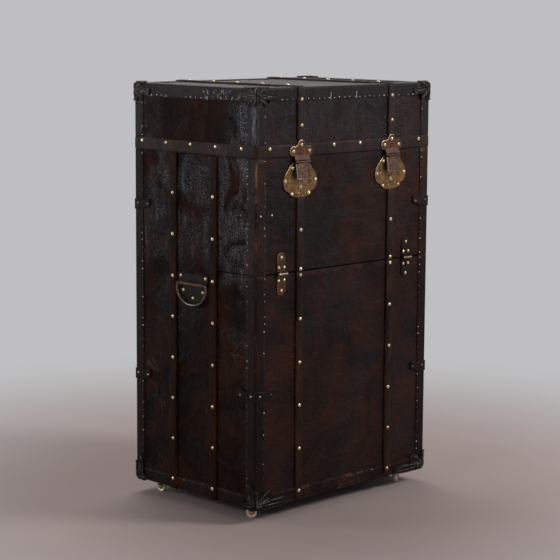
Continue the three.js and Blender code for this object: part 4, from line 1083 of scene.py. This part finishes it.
def flap_shell(seed):
    """A crowned and slightly dented sheet that narrows downwards. Its long edges are lighter with wear, the
    left one much lighter as a painted highlight.
    """
    columns = np.linspace(-1, 1, ACROSS_STEPS)
    outer, inner, faces = [], [], []
    for v in np.linspace(FLAP_TOP, FLAP_LONG, DOWN_STEPS):
        half = FLAP_HALF - FLAP_TAPER * (v - FLAP_TOP) / (FLAP_LONG - FLAP_TOP)
        for c in columns:
            u = c * half
            crown = FLAP_CROWN * (1 - c * c) - FLAP_ROLL * max(0, abs(c) - 0.88) / 0.12
            dent = 0.25 * wobble(u / 14, v / 14, seed)
            outer.append((u, -v, 0.6 + crown + dent))
            inner.append((u, -v, 0.6 + crown - FLAP_THICK))
    wide, count = ACROSS_STEPS, len(outer)
    for j in range(DOWN_STEPS - 1):
        for i in range(wide - 1):
            a = j * wide + i
            faces.append([a, a + 1, a + wide + 1, a + wide])
            faces.append([count + a, count + a + wide, count + a + wide + 1, count + a + 1])
    right = [j * wide + wide - 1 for j in range(1, DOWN_STEPS)]
    left = [j * wide for j in range(DOWN_STEPS - 2, 0, -1)]
    edge = [*range(wide), *right, *[count - 1 - i for i in range(1, wide)], *left]
    faces += [[a, b, count + b, count + a] for a, b in zip(edge, edge[1:] + edge[:1])]
    # Wear on both long edges; the left edge's extra share is a painted highlight.
    chafe_and_highlight = [0.75 if c < -0.93 else 0.3 if c > 0.93 else 0.05 for c in columns] * DOWN_STEPS
    return outer + inner, faces, chafe_and_highlight * 2


def hasp_flap(name, body, across):
    matrix = place("front", across, SEAM - HASP_DROP, HASP_OUT) @ turned(-FLAP_TILT, "X")
    part = Part().add(flap_shell(across), matrix)
    part.add(box((-FLAP_KNUCKLE, FLAP_KNUCKLE), (-9, 0), (-1.4, 1.4)), matrix)
    part.add(rod(KNUCKLE_R, -FLAP_KNUCKLE, FLAP_KNUCKLE), matrix, finish=1)
    us = np.linspace(-FLAP_LIP_HALF, FLAP_LIP_HALF, 9)
    lip = [(u, -FLAP_LONG + 1.6, 1.5 + 0.6 * (1 - (u / 23) ** 2)) for u in us]
    part.add(sweep(lip, [1.5, *[FLAP_LIP_R] * (len(us) - 2), 1.5], 10), matrix, wear=0.3)
    part.build(name, body, "steel", [STEEL, KNUCKLE])


LOCK_TALL, LOCK_HALF = 91, 62
LOCK_SHARES = [
    (0.25, 0.0), (0.42, 0.025), (0.55, 0.07), (0.63, 0.12), (0.67, 0.17), (0.8, 0.2), (0.9, 0.26),
    (0.97, 0.34), (1, 0.48), (0.97, 0.6), (0.88, 0.7), (0.74, 0.8), (0.6, 0.91), (0.46, 1),
]
LOCK_NAIL_SHARES, LOCK_NAIL = [(0.47, 0.85), (0.89, 0.48), (0.5, 0.11)], (5.2, 3.2)
LOCK_PINS, LOCK_PIN = ((-41, 45), (16, 70), (-8, 12)), (1.6, 1.0, 8)
KEYHOLE_RING = [(3.4, 0.2), (6, 0.2), (6.2, 1.2), (5.4, 1.9), (4.2, 1.9), (3.4, 1.1), (3.4, 0.2)]


def lock_plate(name, across):
    """A shield with six nails, a round keyhole with a drop below it drawn as thin dark sheets of painted
    shade, and three small pins.
    """
    part = Part()
    foot = SEAM - LOCK_FOOT
    outline = mirrored([(u * LOCK_HALF, v * LOCK_TALL) for u, v in LOCK_SHARES])
    part.add(pressed(outline, GAP, 2.0, 0.4, 0.8, 0.1), place("front", across, foot))
    for u, v in LOCK_NAIL_SHARES:
        for sign in SIGNS:
            at = across + sign * u * LOCK_HALF, foot + v * LOCK_TALL, GAP + 2.2
            part.nail("front", *at, LOCK_NAIL, 0.6)
    key = place("front", across, foot + 0.3 * LOCK_TALL, GAP + 2.1)
    part.add(lathe(KEYHOLE_RING, 24), key, wear=0.5)
    # Painted shade: the keyhole and the drop below it are thin dark sheets on the plate, not holes.
    part.add(lathe([(0, 0.02), (3.5, 0.02), (3.5, 0.25), (0, 0.25)], 20), key, finish=2)
    # Painted highlight: the key pin is a dome in the wheels' cream finish, bright although the flap shades
    # it.
    part.add(dome(2.9, 3.2), key, finish=3, wear=1.0)
    part.add(box((-2.1, 2.1), (-12.0, -5.8), (0.05, 0.3)), key, finish=2)
    for u, v in LOCK_PINS:
        part.add(dome(*LOCK_PIN), place("front", across + u, foot + v, GAP + 2.2), wear=1.0)
    part.build(name, "drop_front", "brass", [BRASS, NAIL, IRON, WHEEL])


for side, sign in SIDES:
    hasp_plate("hasp_plate_" + side, sign * STRIP_X)
    hasp_flap("hasp_flap_" + side, "hasp_" + side, sign * STRIP_X)
    lock_plate("lock_plate_" + side, sign * STRIP_X)


# Carrying handles

HANDLE_Z = FOOT + 573
BARREL_HALF, BARREL_R, HANDLE_OUT = 48, 5, 8.3
PLATE_HALF, PLATE_UP, PLATE_DOWN = 58, 27, 52
PLATE_SHARES = [
    (0, -1), (0.28, -0.94), (0.6, -0.74), (0.8, -0.52), (0.82, -0.4), (0.84, -0.18), (0.93, 0.1),
    (1, 0.45), (1, 1),
]
PLATE_NAILS = (48.7, 18.9), (-48.7, 18.9), (38.3, -18.7), (-38.3, -18.7), (0, -37.4)
PLATE_NAIL = (5.0, 3.0)
BAIL_R, BAIL_HALF, BAIL_DROP, BAIL_BEND = 4, 57, 56, 8
BAIL_SIDE_SHARE = 0.62


def handle_plate(side):
    matrix = place(side, 0, HANDLE_Z)
    outline = mirrored([(u * PLATE_HALF, v * (PLATE_UP if v > 0 else PLATE_DOWN)) for u, v in PLATE_SHARES])
    part = Part().add(pressed(outline, GAP, 2.2, 0.4, 0.5, 0.0), matrix)
    barrel = rod(BARREL_R, -BARREL_HALF, BARREL_HALF, 28, 0.8)
    part.add(barrel, matrix @ moved(0, 0, HANDLE_OUT), finish=2, wear=0.3)
    part.add(box((-BARREL_HALF, BARREL_HALF), (-SHEET, SHEET), (GAP, HANDLE_OUT), 0.3), matrix)
    for u, v in PLATE_NAILS:
        part.nail(side, u, HANDLE_Z + v, GAP + 2.3, PLATE_NAIL, 0.4)
    part.build("handle_plate_" + side, "carcass", "copper", [PLATE, NAIL, ROLL])


def bail_arm(sign):
    """Half of a bail: a bend out of the barrel, then a curve down to the middle."""
    start = Vector((sign * (BARREL_HALF + 2.2), 0, 0))
    corner, end = Vector((sign * BAIL_HALF, 0, 0)), Vector((sign * BAIL_HALF, -BAIL_BEND, 0))
    arm = [(1 - t) ** 2 * start + 2 * t * (1 - t) * corner + t * t * end for t in np.linspace(0, 1, 6)]
    for t in np.linspace(0, 1, 19)[1:]:
        a, b, c, d = (1 - t) ** 3, 3 * t * (1 - t) ** 2, 3 * t * t * (1 - t), t ** 3
        out = sign * BAIL_HALF * (a + b + BAIL_SIDE_SHARE * c)
        arm.append(Vector((out, -BAIL_BEND * a - BAIL_DROP * (BAIL_SIDE_SHARE * b + c + d), 0)))
    return arm


def handle_bail(side):
    matrix = place(side, 0, HANDLE_Z) @ moved(0, 0, HANDLE_OUT)
    route = bail_arm(1) + bail_arm(-1)[::-1][1:]
    part = Part().add(sweep(route, [BAIL_R] * len(route), 14), matrix, wear=0.25)
    for sign in SIGNS:
        part.add(rod(2.5, *sorted((sign * 41, sign * 52)), 14), matrix)
    part.build("handle_bail_" + side, "bail_" + side, "iron", [BAIL])


for side, _ in SIDES:
    handle_plate(side)
    handle_bail(side)


# Corner caps: a leaf of lobes on each of three faces, in (along, away) from the corner

CAP_OUT, CAP_THICK, CAP_ROUND = 3.9, 1.9, 4.0
TOP_LEAF = [
    (34, 0), (37, 5), (35, 11), (46, 16), (57, 18), (63, 17), (69, 18), (73, 22), (73, 28), (69, 32),
    (63, 33), (57, 31), (46, 33), (36, 33), (40, 40), (41, 46), (35, 49), (27, 43), (22, 36), (19, 42),
    (17, 49), (9, 52), (0, 50),
]
TOP_RIBS = [
    [(3, 22), (20, 20), (40, 23), (57, 25)], [(4, 24), (16, 30), (27, 38), (35, 44)],
    [(3, 25), (5, 36), (9, 48)], [(4, 20), (14, 12), (30, 5)], [(3, 18), (5, 9), (7, 3)],
    [(8, 22), (20, 27), (36, 27), (46, 25)],
]
SIDE_SHARE = 0.93
CAP_LEAVES = {
    1: {
        "wide": TOP_LEAF,
        "side": [(u * SIDE_SHARE, v) for u, v in TOP_LEAF],
        "end": [(46, 0), (44, 8), (38, 12), (30, 12), (26, 17), (28, 24), (24, 28), (17, 26), (12, 30),
                (12, 38), (8, 44), (0, 46)],
    },
    -1: {
        "wide": [(34, 0), (70, 0), (105, 3), (126, 8), (130, 13), (122, 19), (104, 24), (84, 25), (70, 22),
                 (63, 25), (62, 35), (60, 44), (53, 49), (43, 48), (33, 41), (25, 33), (20, 28), (17, 34),
                 (16, 44), (10, 51), (0, 50)],
        "side": [(34, 0), (44, 2), (49, 8), (44, 15), (35, 16), (30, 21), (34, 31), (34, 43), (33, 55),
                 (32, 64), (26, 70), (18, 68), (15, 58), (12, 48), (8, 54), (0, 52)],
        "end": [(34, 0), (33, 6), (28, 10), (22, 12), (20, 16), (20, 22), (14, 24), (10, 28), (8, 33),
                (0, 34)],
    },
}
CAP_RIBS = {
    1: {
        "wide": TOP_RIBS,
        "side": [[(u * SIDE_SHARE, v) for u, v in rib] for rib in TOP_RIBS],
        "end": [[(6, 5), (20, 6), (40, 6)], [(6, 7), (16, 16), (24, 24)], [(5, 7), (6, 20), (6, 40)]],
    },
    -1: {
        "wide": [[(4, 9), (40, 10), (80, 9), (120, 11)], [(4, 11), (38, 18), (74, 21), (114, 19)],
                 [(4, 12), (22, 18), (40, 24), (54, 27)], [(4, 13), (18, 24), (34, 37), (52, 45)],
                 [(4, 13), (8, 28), (9, 46)]],
        "side": [[(4, 9), (18, 10), (40, 8)], [(5, 11), (12, 24), (23, 38), (20, 52), (25, 64)],
                 [(6, 11), (25, 26), (20, 40), (28, 54), (25, 64)], [(4, 12), (6, 26), (7, 46)]],
        "end": [[(6, 6), (18, 8), (30, 5)], [(6, 6), (14, 14), (18, 18)]],
    },
}
CAP_NAILS = {(1, "wide"): (65, 25), (1, "side"): (60, 25), (-1, "side"): (25, 63)}
CAP_NAIL_RING = [(2.6, 0), (5.6, 0), (5.8, 1.0), (5.0, 1.9), (3.8, 1.9), (3.0, 1.1), (2.6, 0)]


def leaf_shell(outline, at):
    """A thin leaf, swollen a little between its rim and the corner, and rounded over the corner's edges."""
    held = bmesh.new()
    face = held.faces.new([held.verts.new((p.x, p.y, 0)) for p in outline])
    bmesh.ops.triangulate(held, faces=[face])
    bmesh.ops.subdivide_edges(held, edges=list(held.edges), cuts=2, use_grid_fill=True)
    bmesh.ops.triangulate(held, faces=list(held.faces))
    grown = bmesh.ops.extrude_face_region(held, geom=list(held.faces))["geom"]
    for vert in [g for g in grown if isinstance(g, bmesh.types.BMVert)]:
        vert.co.z = -CAP_THICK
    held.verts.index_update()
    points = []
    for vert in held.verts:
        u, v, n = vert.co
        swell = 0.0
        if n == 0:
            swell = 0.9 * math.sin(min(1.0, math.hypot(u, v) / 40) * math.pi)
            swell -= 0.5 * max(0.0, 1 - min(u, v) / 4) if math.hypot(u, v) > 8 else 0
        near_u, near_v = max(0.0, CAP_ROUND - u), max(0.0, CAP_ROUND - v)
        drop = CAP_ROUND - math.sqrt(max(0.0, CAP_ROUND ** 2 - near_u ** 2 * 0.5 - near_v ** 2 * 0.5))
        points.append(at(u + drop * (near_u > 0), v + drop * (near_v > 0), n + min(0.6, swell) - drop))
    faces = [[v.index for v in f.verts] for f in held.faces]
    held.free()
    return points, faces


def corner_cap(name, body, x, y, z):
    """Three leaves that share the corner's edges, as a thin shell with ribs and nails on it."""
    level = TOP_Z + CAP_OUT if z > 0 else BASE_Z - CAP_OUT
    corner = Vector((x * (HALF_X + CAP_OUT), y * (HALF_Y + CAP_OUT) + SHIFT, level))
    axes = {
        "wide": (Vector((-x, 0, 0)), Vector((0, 0, -z)), Vector((0, y, 0))),
        "side": (Vector((0, -y, 0)), Vector((0, 0, -z)), Vector((x, 0, 0))),
        "end": (Vector((-x, 0, 0)), Vector((0, -y, 0)), Vector((0, 0, z))),
    }
    part = Part()
    for key, (across, up, out) in axes.items():
        def at(u, v, n):
            return corner + across * u + up * v + out * n

        edge = smooth(CAP_LEAVES[z][key], 3)
        part.add(leaf_shell([Vector((0, 0)), Vector((edge[0].x, 0)), *edge[1:]], at), wear=0.1)
        for rib in CAP_RIBS[z][key]:
            line = smooth(rib, 5)
            shares = [k / (len(line) - 1) for k in range(len(line))]
            radii = [0.4 + 1.1 * math.sin(math.pi * (0.15 + 0.75 * share)) for share in shares]
            # Ribs take the light colour in patches: wear and painted highlights.
            part.add(sweep([at(p.x, p.y, 0.1) for p in line], radii, 8), wear=1.0)
        bead = [at(max(0.6, p.x - 1.0 * (p.x > 2)), max(0.6, p.y - 0.6), 0.05) for p in edge]
        part.add(sweep(bead, [0.75] * len(bead), 6), wear=0.6)
        if (z, key) in CAP_NAILS:
            nail = Matrix((across, up, out)).transposed().to_4x4()
            nail.translation = at(*CAP_NAILS[z, key], 0.4)
            size, head = (1.0, 2.6) if z > 0 else (0.7, 2.0)
            part.add(lathe([(r * size, h) for r, h in CAP_NAIL_RING], 16), nail, wear=1.0)
            part.add(dome(head, 1.6), nail, wear=0.9)
    part.build(name, body, "iron", [CAP if z > 0 else FOOT_CAP], 45)


for corner, x, y in CORNERS:
    corner_cap("top_corner_" + corner, "lid", x, y, 1)
    corner_cap("bottom_corner_" + corner, "carcass", x, y, -1)


# Casters, each turned its own way

HEADINGS = {"front_left": 135, "front_right": 225, "back_left": 100, "back_right": 60}
CASTER_IN, TRAIL, AXLE_Z = 56, 9.5, 14
WHEEL_R, WHEEL_HALF, AXLE_R, SPOKES = 14, 6, 2.4, 5
SPOKE = (4.2, 9.8), (-0.9, 0.9), (-4.4, 4.4), 0.3
FORK_HALF, CROWN_Z, CROWN_THICK = 8.6, 28.6, 2.6
CHEEK_BACK, CHEEK_MIDDLE, CHEEK_THICK, RIVET_OUT = -5, 7.6, 2, 8.5
FORK_CROWN = [
    (0, CROWN_Z), (11.4, CROWN_Z), (12, 29.2), (12, 31.4), (10.6, 32.2), (8.8, 32.6), (8.5, 33.4),
    (8.5, 37.9), (7.8, FOOT - GAP), (0, FOOT - GAP),
]
FORK_CHEEK = [
    (CHEEK_BACK, 31), (TRAIL + 3.1, 31), (TRAIL + 4.6, 22),
    *arc((TRAIL, AXLE_Z), 5, 20, -200, 14), (TRAIL - 6.5, 21),
]
RIVET = [(0, 0), (3.6, 0), (3.6, 0.6), (2.4, 1.2), (0, 1.3)]
TYRE_HALF = [(9.6, -4.6), (12.6, -WHEEL_HALF), (13.4, -5.4), (WHEEL_R, -4.4)]
HUB_HALF = [(2.85, -5.9), (4.6, -5.9), (5.0, -4.2), (6.2, -2.9), (9.9, -3.4)]


def ring_profile(half):
    """A closed profile from its lower half."""
    return half + [(r, -h) for r, h in reversed(half)] + half[:1]


def caster_fork(name, at):
    fork = Part().add(lathe(FORK_CROWN, 28), at, wear=0.2)
    fork.add(box((CHEEK_BACK, TRAIL + 3), (-FORK_HALF, FORK_HALF), (CROWN_Z, CROWN_Z + CROWN_THICK), 0.5), at)
    for sign in SIGNS:
        upright = moved(0, sign * CHEEK_MIDDLE + CHEEK_THICK / 2, 0) @ turned(90, "X")
        fork.add(plate(FORK_CHEEK, 0, CHEEK_THICK, 0.5), at @ upright, wear=0.3)
        outward = at @ moved(TRAIL, sign * RIVET_OUT, AXLE_Z) @ turned(-sign * 90, "X")
        fork.add(lathe(RIVET, 16), outward, finish=1, wear=0.5)
    axle = moved(TRAIL, 0, AXLE_Z) @ turned(90, "Z")
    fork.add(rod(AXLE_R, -FORK_HALF, FORK_HALF, 16), at @ axle)
    fork.build("caster_fork_" + name, "fork_" + name, "iron", [IRON, BRASS])


def caster_wheel(name, at):
    on_axle = at @ moved(TRAIL, 0, AXLE_Z) @ turned(90, "X")
    wheel = Part().add(lathe(ring_profile(TYRE_HALF), 40), on_axle, wear=0.3)
    wheel.add(lathe(ring_profile(HUB_HALF), 32), on_axle, finish=1, wear=0.5)
    for k in range(SPOKES):
        spoke = on_axle @ turned(360 * k / SPOKES, "Z")
        wheel.add(box(*SPOKE), spoke, finish=1, wear=0.6)
    wheel.build("caster_wheel_" + name, "wheel_" + name, "wheel", [WHEEL, HUB])


for corner, x, y in CORNERS:
    stem = moved(x * (HALF_W - CASTER_IN), y * (HALF_D - CASTER_IN) + SHIFT, 0)
    stem = stem @ turned(HEADINGS[corner], "Z")
    caster_fork(corner, stem)
    caster_wheel(corner, stem)


# Garment rail with a flange and three screws at each end

RAIL_BACK, RAIL_DOWN, RAIL_R, FLANGE_R, SCREW_AT = 40, 48, 9, 20, 15.5
rail_end = HALF_X - BOARD - GAP
rail_at = moved(0, RAIL_BACK + SHIFT, SEAM - RAIL_DOWN) @ turned(90, "Y")
half_rail = [
    (RAIL_R, 0), (RAIL_R, rail_end - 9), (11, rail_end - 8), (11, rail_end - 5), (13, rail_end - 4),
    (FLANGE_R, rail_end - 3.2), (FLANGE_R, rail_end), (0, rail_end),
]
rail = Part().add(lathe([(r, -h) for r, h in reversed(half_rail)] + half_rail[1:], 32), rail_at)
for sign in SIGNS:
    for k in range(3):
        screw = rail_at @ turned(120 * k, "Z") @ moved(SCREW_AT, 0, sign * (rail_end - 3.6))
        screw = screw if sign < 0 else screw @ turned(180, "X")
        rail.add(dome(2.4, 1.2, 10), screw, finish=1)
rail.build("garment_rail", "carcass", "wood", [WOOD, BRASS])


# Marks of age: creases, a crumpled patch and two old staples

def ridge(part, face, points, radius, out, wear):
    """A low fold along points of (across, up) on a face."""
    line = smooth(points, 4)
    laid = place(face)
    last = len(line) - 1
    path, radii = [], []
    for k, p in enumerate(line):
        u, v = p.x + wobble(p.x / 9, p.y / 9), p.y + wobble(p.y / 9, p.x / 9)
        path.append(laid @ Vector((u, v, out)))
        radii.append(radius * (0.15 + math.sin(math.pi * k / last) * (0.7 + 0.4 * wobble(k, radius))))
    part.add(sweep(path, radii, 6), wear=wear)


SIDE_CREASES = [
    [(-192, 670), (-160, 672), (-130, 668), (-100, 670)], [(-156, 671), (-144, 679), (-131, 690)],
    [(99, 809), (130, 813), (168, 812), (190, 796), (207, 781), (232, 766)],
    [(168, 812), (176, 800), (174, 786)], [(120, 742), (150, 752), (185, 748), (205, 736)],
    [(-200, 520), (-170, 527), (-140, 522)],
    [(-30, 160), (-20, 150), (-22, 138)], [(110, 300), (150, 306), (190, 298)],
]
FRONT_CREASES = [
    [(-140, 604), (-60, 598), (10, 603), (80, 596), (140, 604)], [(-300, 610), (-260, 604), (-215, 611)],
    [(-120, 420), (-60, 428), (0, 420), (60, 431)], [(-20, 250), (40, 243), (110, 254)],
    [(210, 560), (250, 566), (300, 558)], [(-100, 860), (-20, 866), (60, 858)],
]
side_marks, front_marks = ({body: Part() for body in ("carcass", "drop_front")} for _ in range(2))
for crease in SIDE_CREASES:
    on_cheek = min(u for u, _ in crease) > -CHEEK_Y and min(v for _, v in crease) > SPLIT
    marks = side_marks["drop_front" if on_cheek else "carcass"]
    ridge(marks, "left", crease, 1.3, -0.3, 0.35)
    ridge(marks, "right", [(-u, v + 3) for u, v in crease], 1.2, -0.3, 0.3)
for crease in FRONT_CREASES:
    ridge(front_marks["drop_front" if crease[0][1] > SPLIT else "carcass"], "front", crease, 1.1, -0.4, 0.15)
for kind, marks, finish in (("side", side_marks, LEATHER_SIDE), ("front", front_marks, LEATHER_FRONT)):
    for body, part in marks.items():
        part.build(f"{body}_{kind}_creases", body, "leather", [finish], 80)

RIDGES = 34
# A crumpled patch on the lid's left binding: low ridges, some of them pale as painted highlights.
crumpled = Part()
for _ in range(RIDGES):
    u, v = rng.uniform(34, 150), rng.uniform(CROWN - 33, CROWN - 8)
    lean, tall = rng.uniform(-5, 5), rng.uniform(5, 12)
    fold = [(u, v - tall / 2), (u + lean * 0.7, v), (u + lean, v + tall / 2)]
    ridge(crumpled, "left", fold, rng.uniform(1.2, 2.6), SKIN - 0.3, rng.choice((0, 0.6, 1.0)))
crumpled.build("crumpled_binding", "lid", "binding", [GLAZE_HIGHLIGHTS], 80)

staples = Part()
STAPLE_WIRE = [(-1.5, -20), (0, -17), (0.5, -24), (0, -32), (4, -34)]
STAPLE_END = [(-7, -31), (-4, -33), (0, -32)]
for at in (-63, 36):
    for wire, radius in ((STAPLE_WIRE, 0.9), (STAPLE_END, 0.8)):
        ridge(staples, "front", [(at + u, CROWN + v) for u, v in wire], radius, SKIN + 0.1, 0.9)
staples.build("old_staples", "lid", "steel", [TACK], 80)

for body in nails:
    nails[body].build(body + "_nails", body, "brass", [NAIL])
    tacks[body].build(body + "_tacks", body, "steel", [TACK])


# Stage, light and camera, in metres

PALE = 0xbfbfc1
FLOOR_TILES, FLOOR_REACH = 8, 30.0
AMBIENT = 0.4


def seen_rays(tree):
    """1 for rays that show the background: from the camera, off gloss and through glass."""
    path = tree.nodes.new("ShaderNodeLightPath")
    total = path.outputs["Is Camera Ray"]
    for ray in ("Is Glossy Ray", "Is Transmission Ray"):
        joined = tree.nodes.new("ShaderNodeMath")
        joined.operation = "MAXIMUM"
        tree.links.new(total, joined.inputs[0])
        tree.links.new(path.outputs[ray], joined.inputs[1])
        total = joined.outputs[0]
    return total


def floor_finish():
    """Pale stone near the trunk, which turns into the backdrop's own colour further away."""
    f = Finish("pale_floor")
    f.finish(f.mix(f.noise(3, 4, 0.5), 0xb09d99, 0xbaa8a4), roughness=0.7, specular=0.2)
    distance = f.node("ShaderNodeVectorMath", {0: f.coords}, operation="LENGTH").outputs["Value"]
    far = f.span(distance, 0.55, 2.1, interpolation_type="SMOOTHSTEP")
    glow = f.node("ShaderNodeEmission", {"Color": PALE, "Strength": seen_rays(f.tree)}).outputs[0]
    blend = f.node("ShaderNodeMixShader", {0: far, 1: f.shader.outputs[0], 2: glow}).outputs[0]
    f.feed(f.tree.nodes["Material Output"].inputs["Surface"], blend)
    return f.material


def stage_floor():
    mesh = bpy.data.meshes.new("floor")
    row = FLOOR_TILES + 1
    steps = np.linspace(-FLOOR_REACH, FLOOR_REACH, row)
    points = [(x, y, 0) for y in steps for x in steps]
    starts = [j * row + i for j in range(FLOOR_TILES) for i in range(FLOOR_TILES)]
    mesh.from_pydata(points, [], [[a, a + 1, a + row + 1, a + row] for a in starts])
    mesh.materials.append(floor_finish())
    into_scene("floor", mesh)


def lamp(name, at, target, size, power):
    light = bpy.data.lights.new(name, "AREA")
    light.shape = "DISK"
    light.size = size
    light.energy = power
    made = into_scene(name, light)
    made.location = at
    made.rotation_euler = (Vector(at) - Vector(target)).to_track_quat("Z", "Y").to_euler()


def backdrop():
    """A world that is seen in the pale colour, and lights the trunk less."""
    world = bpy.data.worlds.new("studio")
    world.use_nodes = True
    tree = world.node_tree
    background = tree.nodes["Background"]
    background.inputs["Color"].default_value = srgb(PALE)
    strength = tree.nodes.new("ShaderNodeMapRange")
    strength.inputs["To Min"].default_value = AMBIENT
    tree.links.new(seen_rays(tree), strength.inputs["Value"])
    tree.links.new(strength.outputs["Result"], background.inputs["Strength"])
    bpy.context.scene.world = world


stage_floor()
lamp("key", (2.3, -3.3, 3.0), (0, 0, 0.6), 1.4, 98)
lamp("side", (-2.7, 2.5, 1.3), (0, 0, 0.9), 0.9, 20)
lamp("edge", (-3.4, -0.2, 1.7), (0, 0, 1.0), 0.6, 9)
lamp("top", (0.6, 1.4, 3.6), (0, 0, 0.6), 2.4, 40)
backdrop()

FOCAL, SENSOR = 117.94, 36
EYE_AT = (-3.5715, -3.582, 1.344)
AZIMUTH, ELEVATION, TILT = (math.radians(a) for a in (-44.8, 8.48, 0.35))


def camera():
    """The photograph's view, with a slight tilt of the frame."""
    eye = bpy.data.cameras.new("camera")
    eye.lens = FOCAL
    eye.sensor_width = SENSOR
    eye.clip_end = 200
    level = math.cos(ELEVATION)
    away = Vector((math.sin(AZIMUTH) * level, -math.cos(AZIMUTH) * level, math.sin(ELEVATION)))
    right = Vector((math.cos(AZIMUTH), math.sin(AZIMUTH), 0))
    lifted = away.cross(right)
    tilted = right * math.cos(TILT) + lifted * math.sin(TILT)
    lifted = lifted * math.cos(TILT) - right * math.sin(TILT)
    pose = Matrix((tilted, lifted, away)).transposed().to_4x4()
    pose.translation = EYE_AT
    made = into_scene("camera", eye)
    made.matrix_world = pose
    return made


bpy.context.scene.camera = camera()
bpy.context.scene.view_settings.view_transform = "Standard"
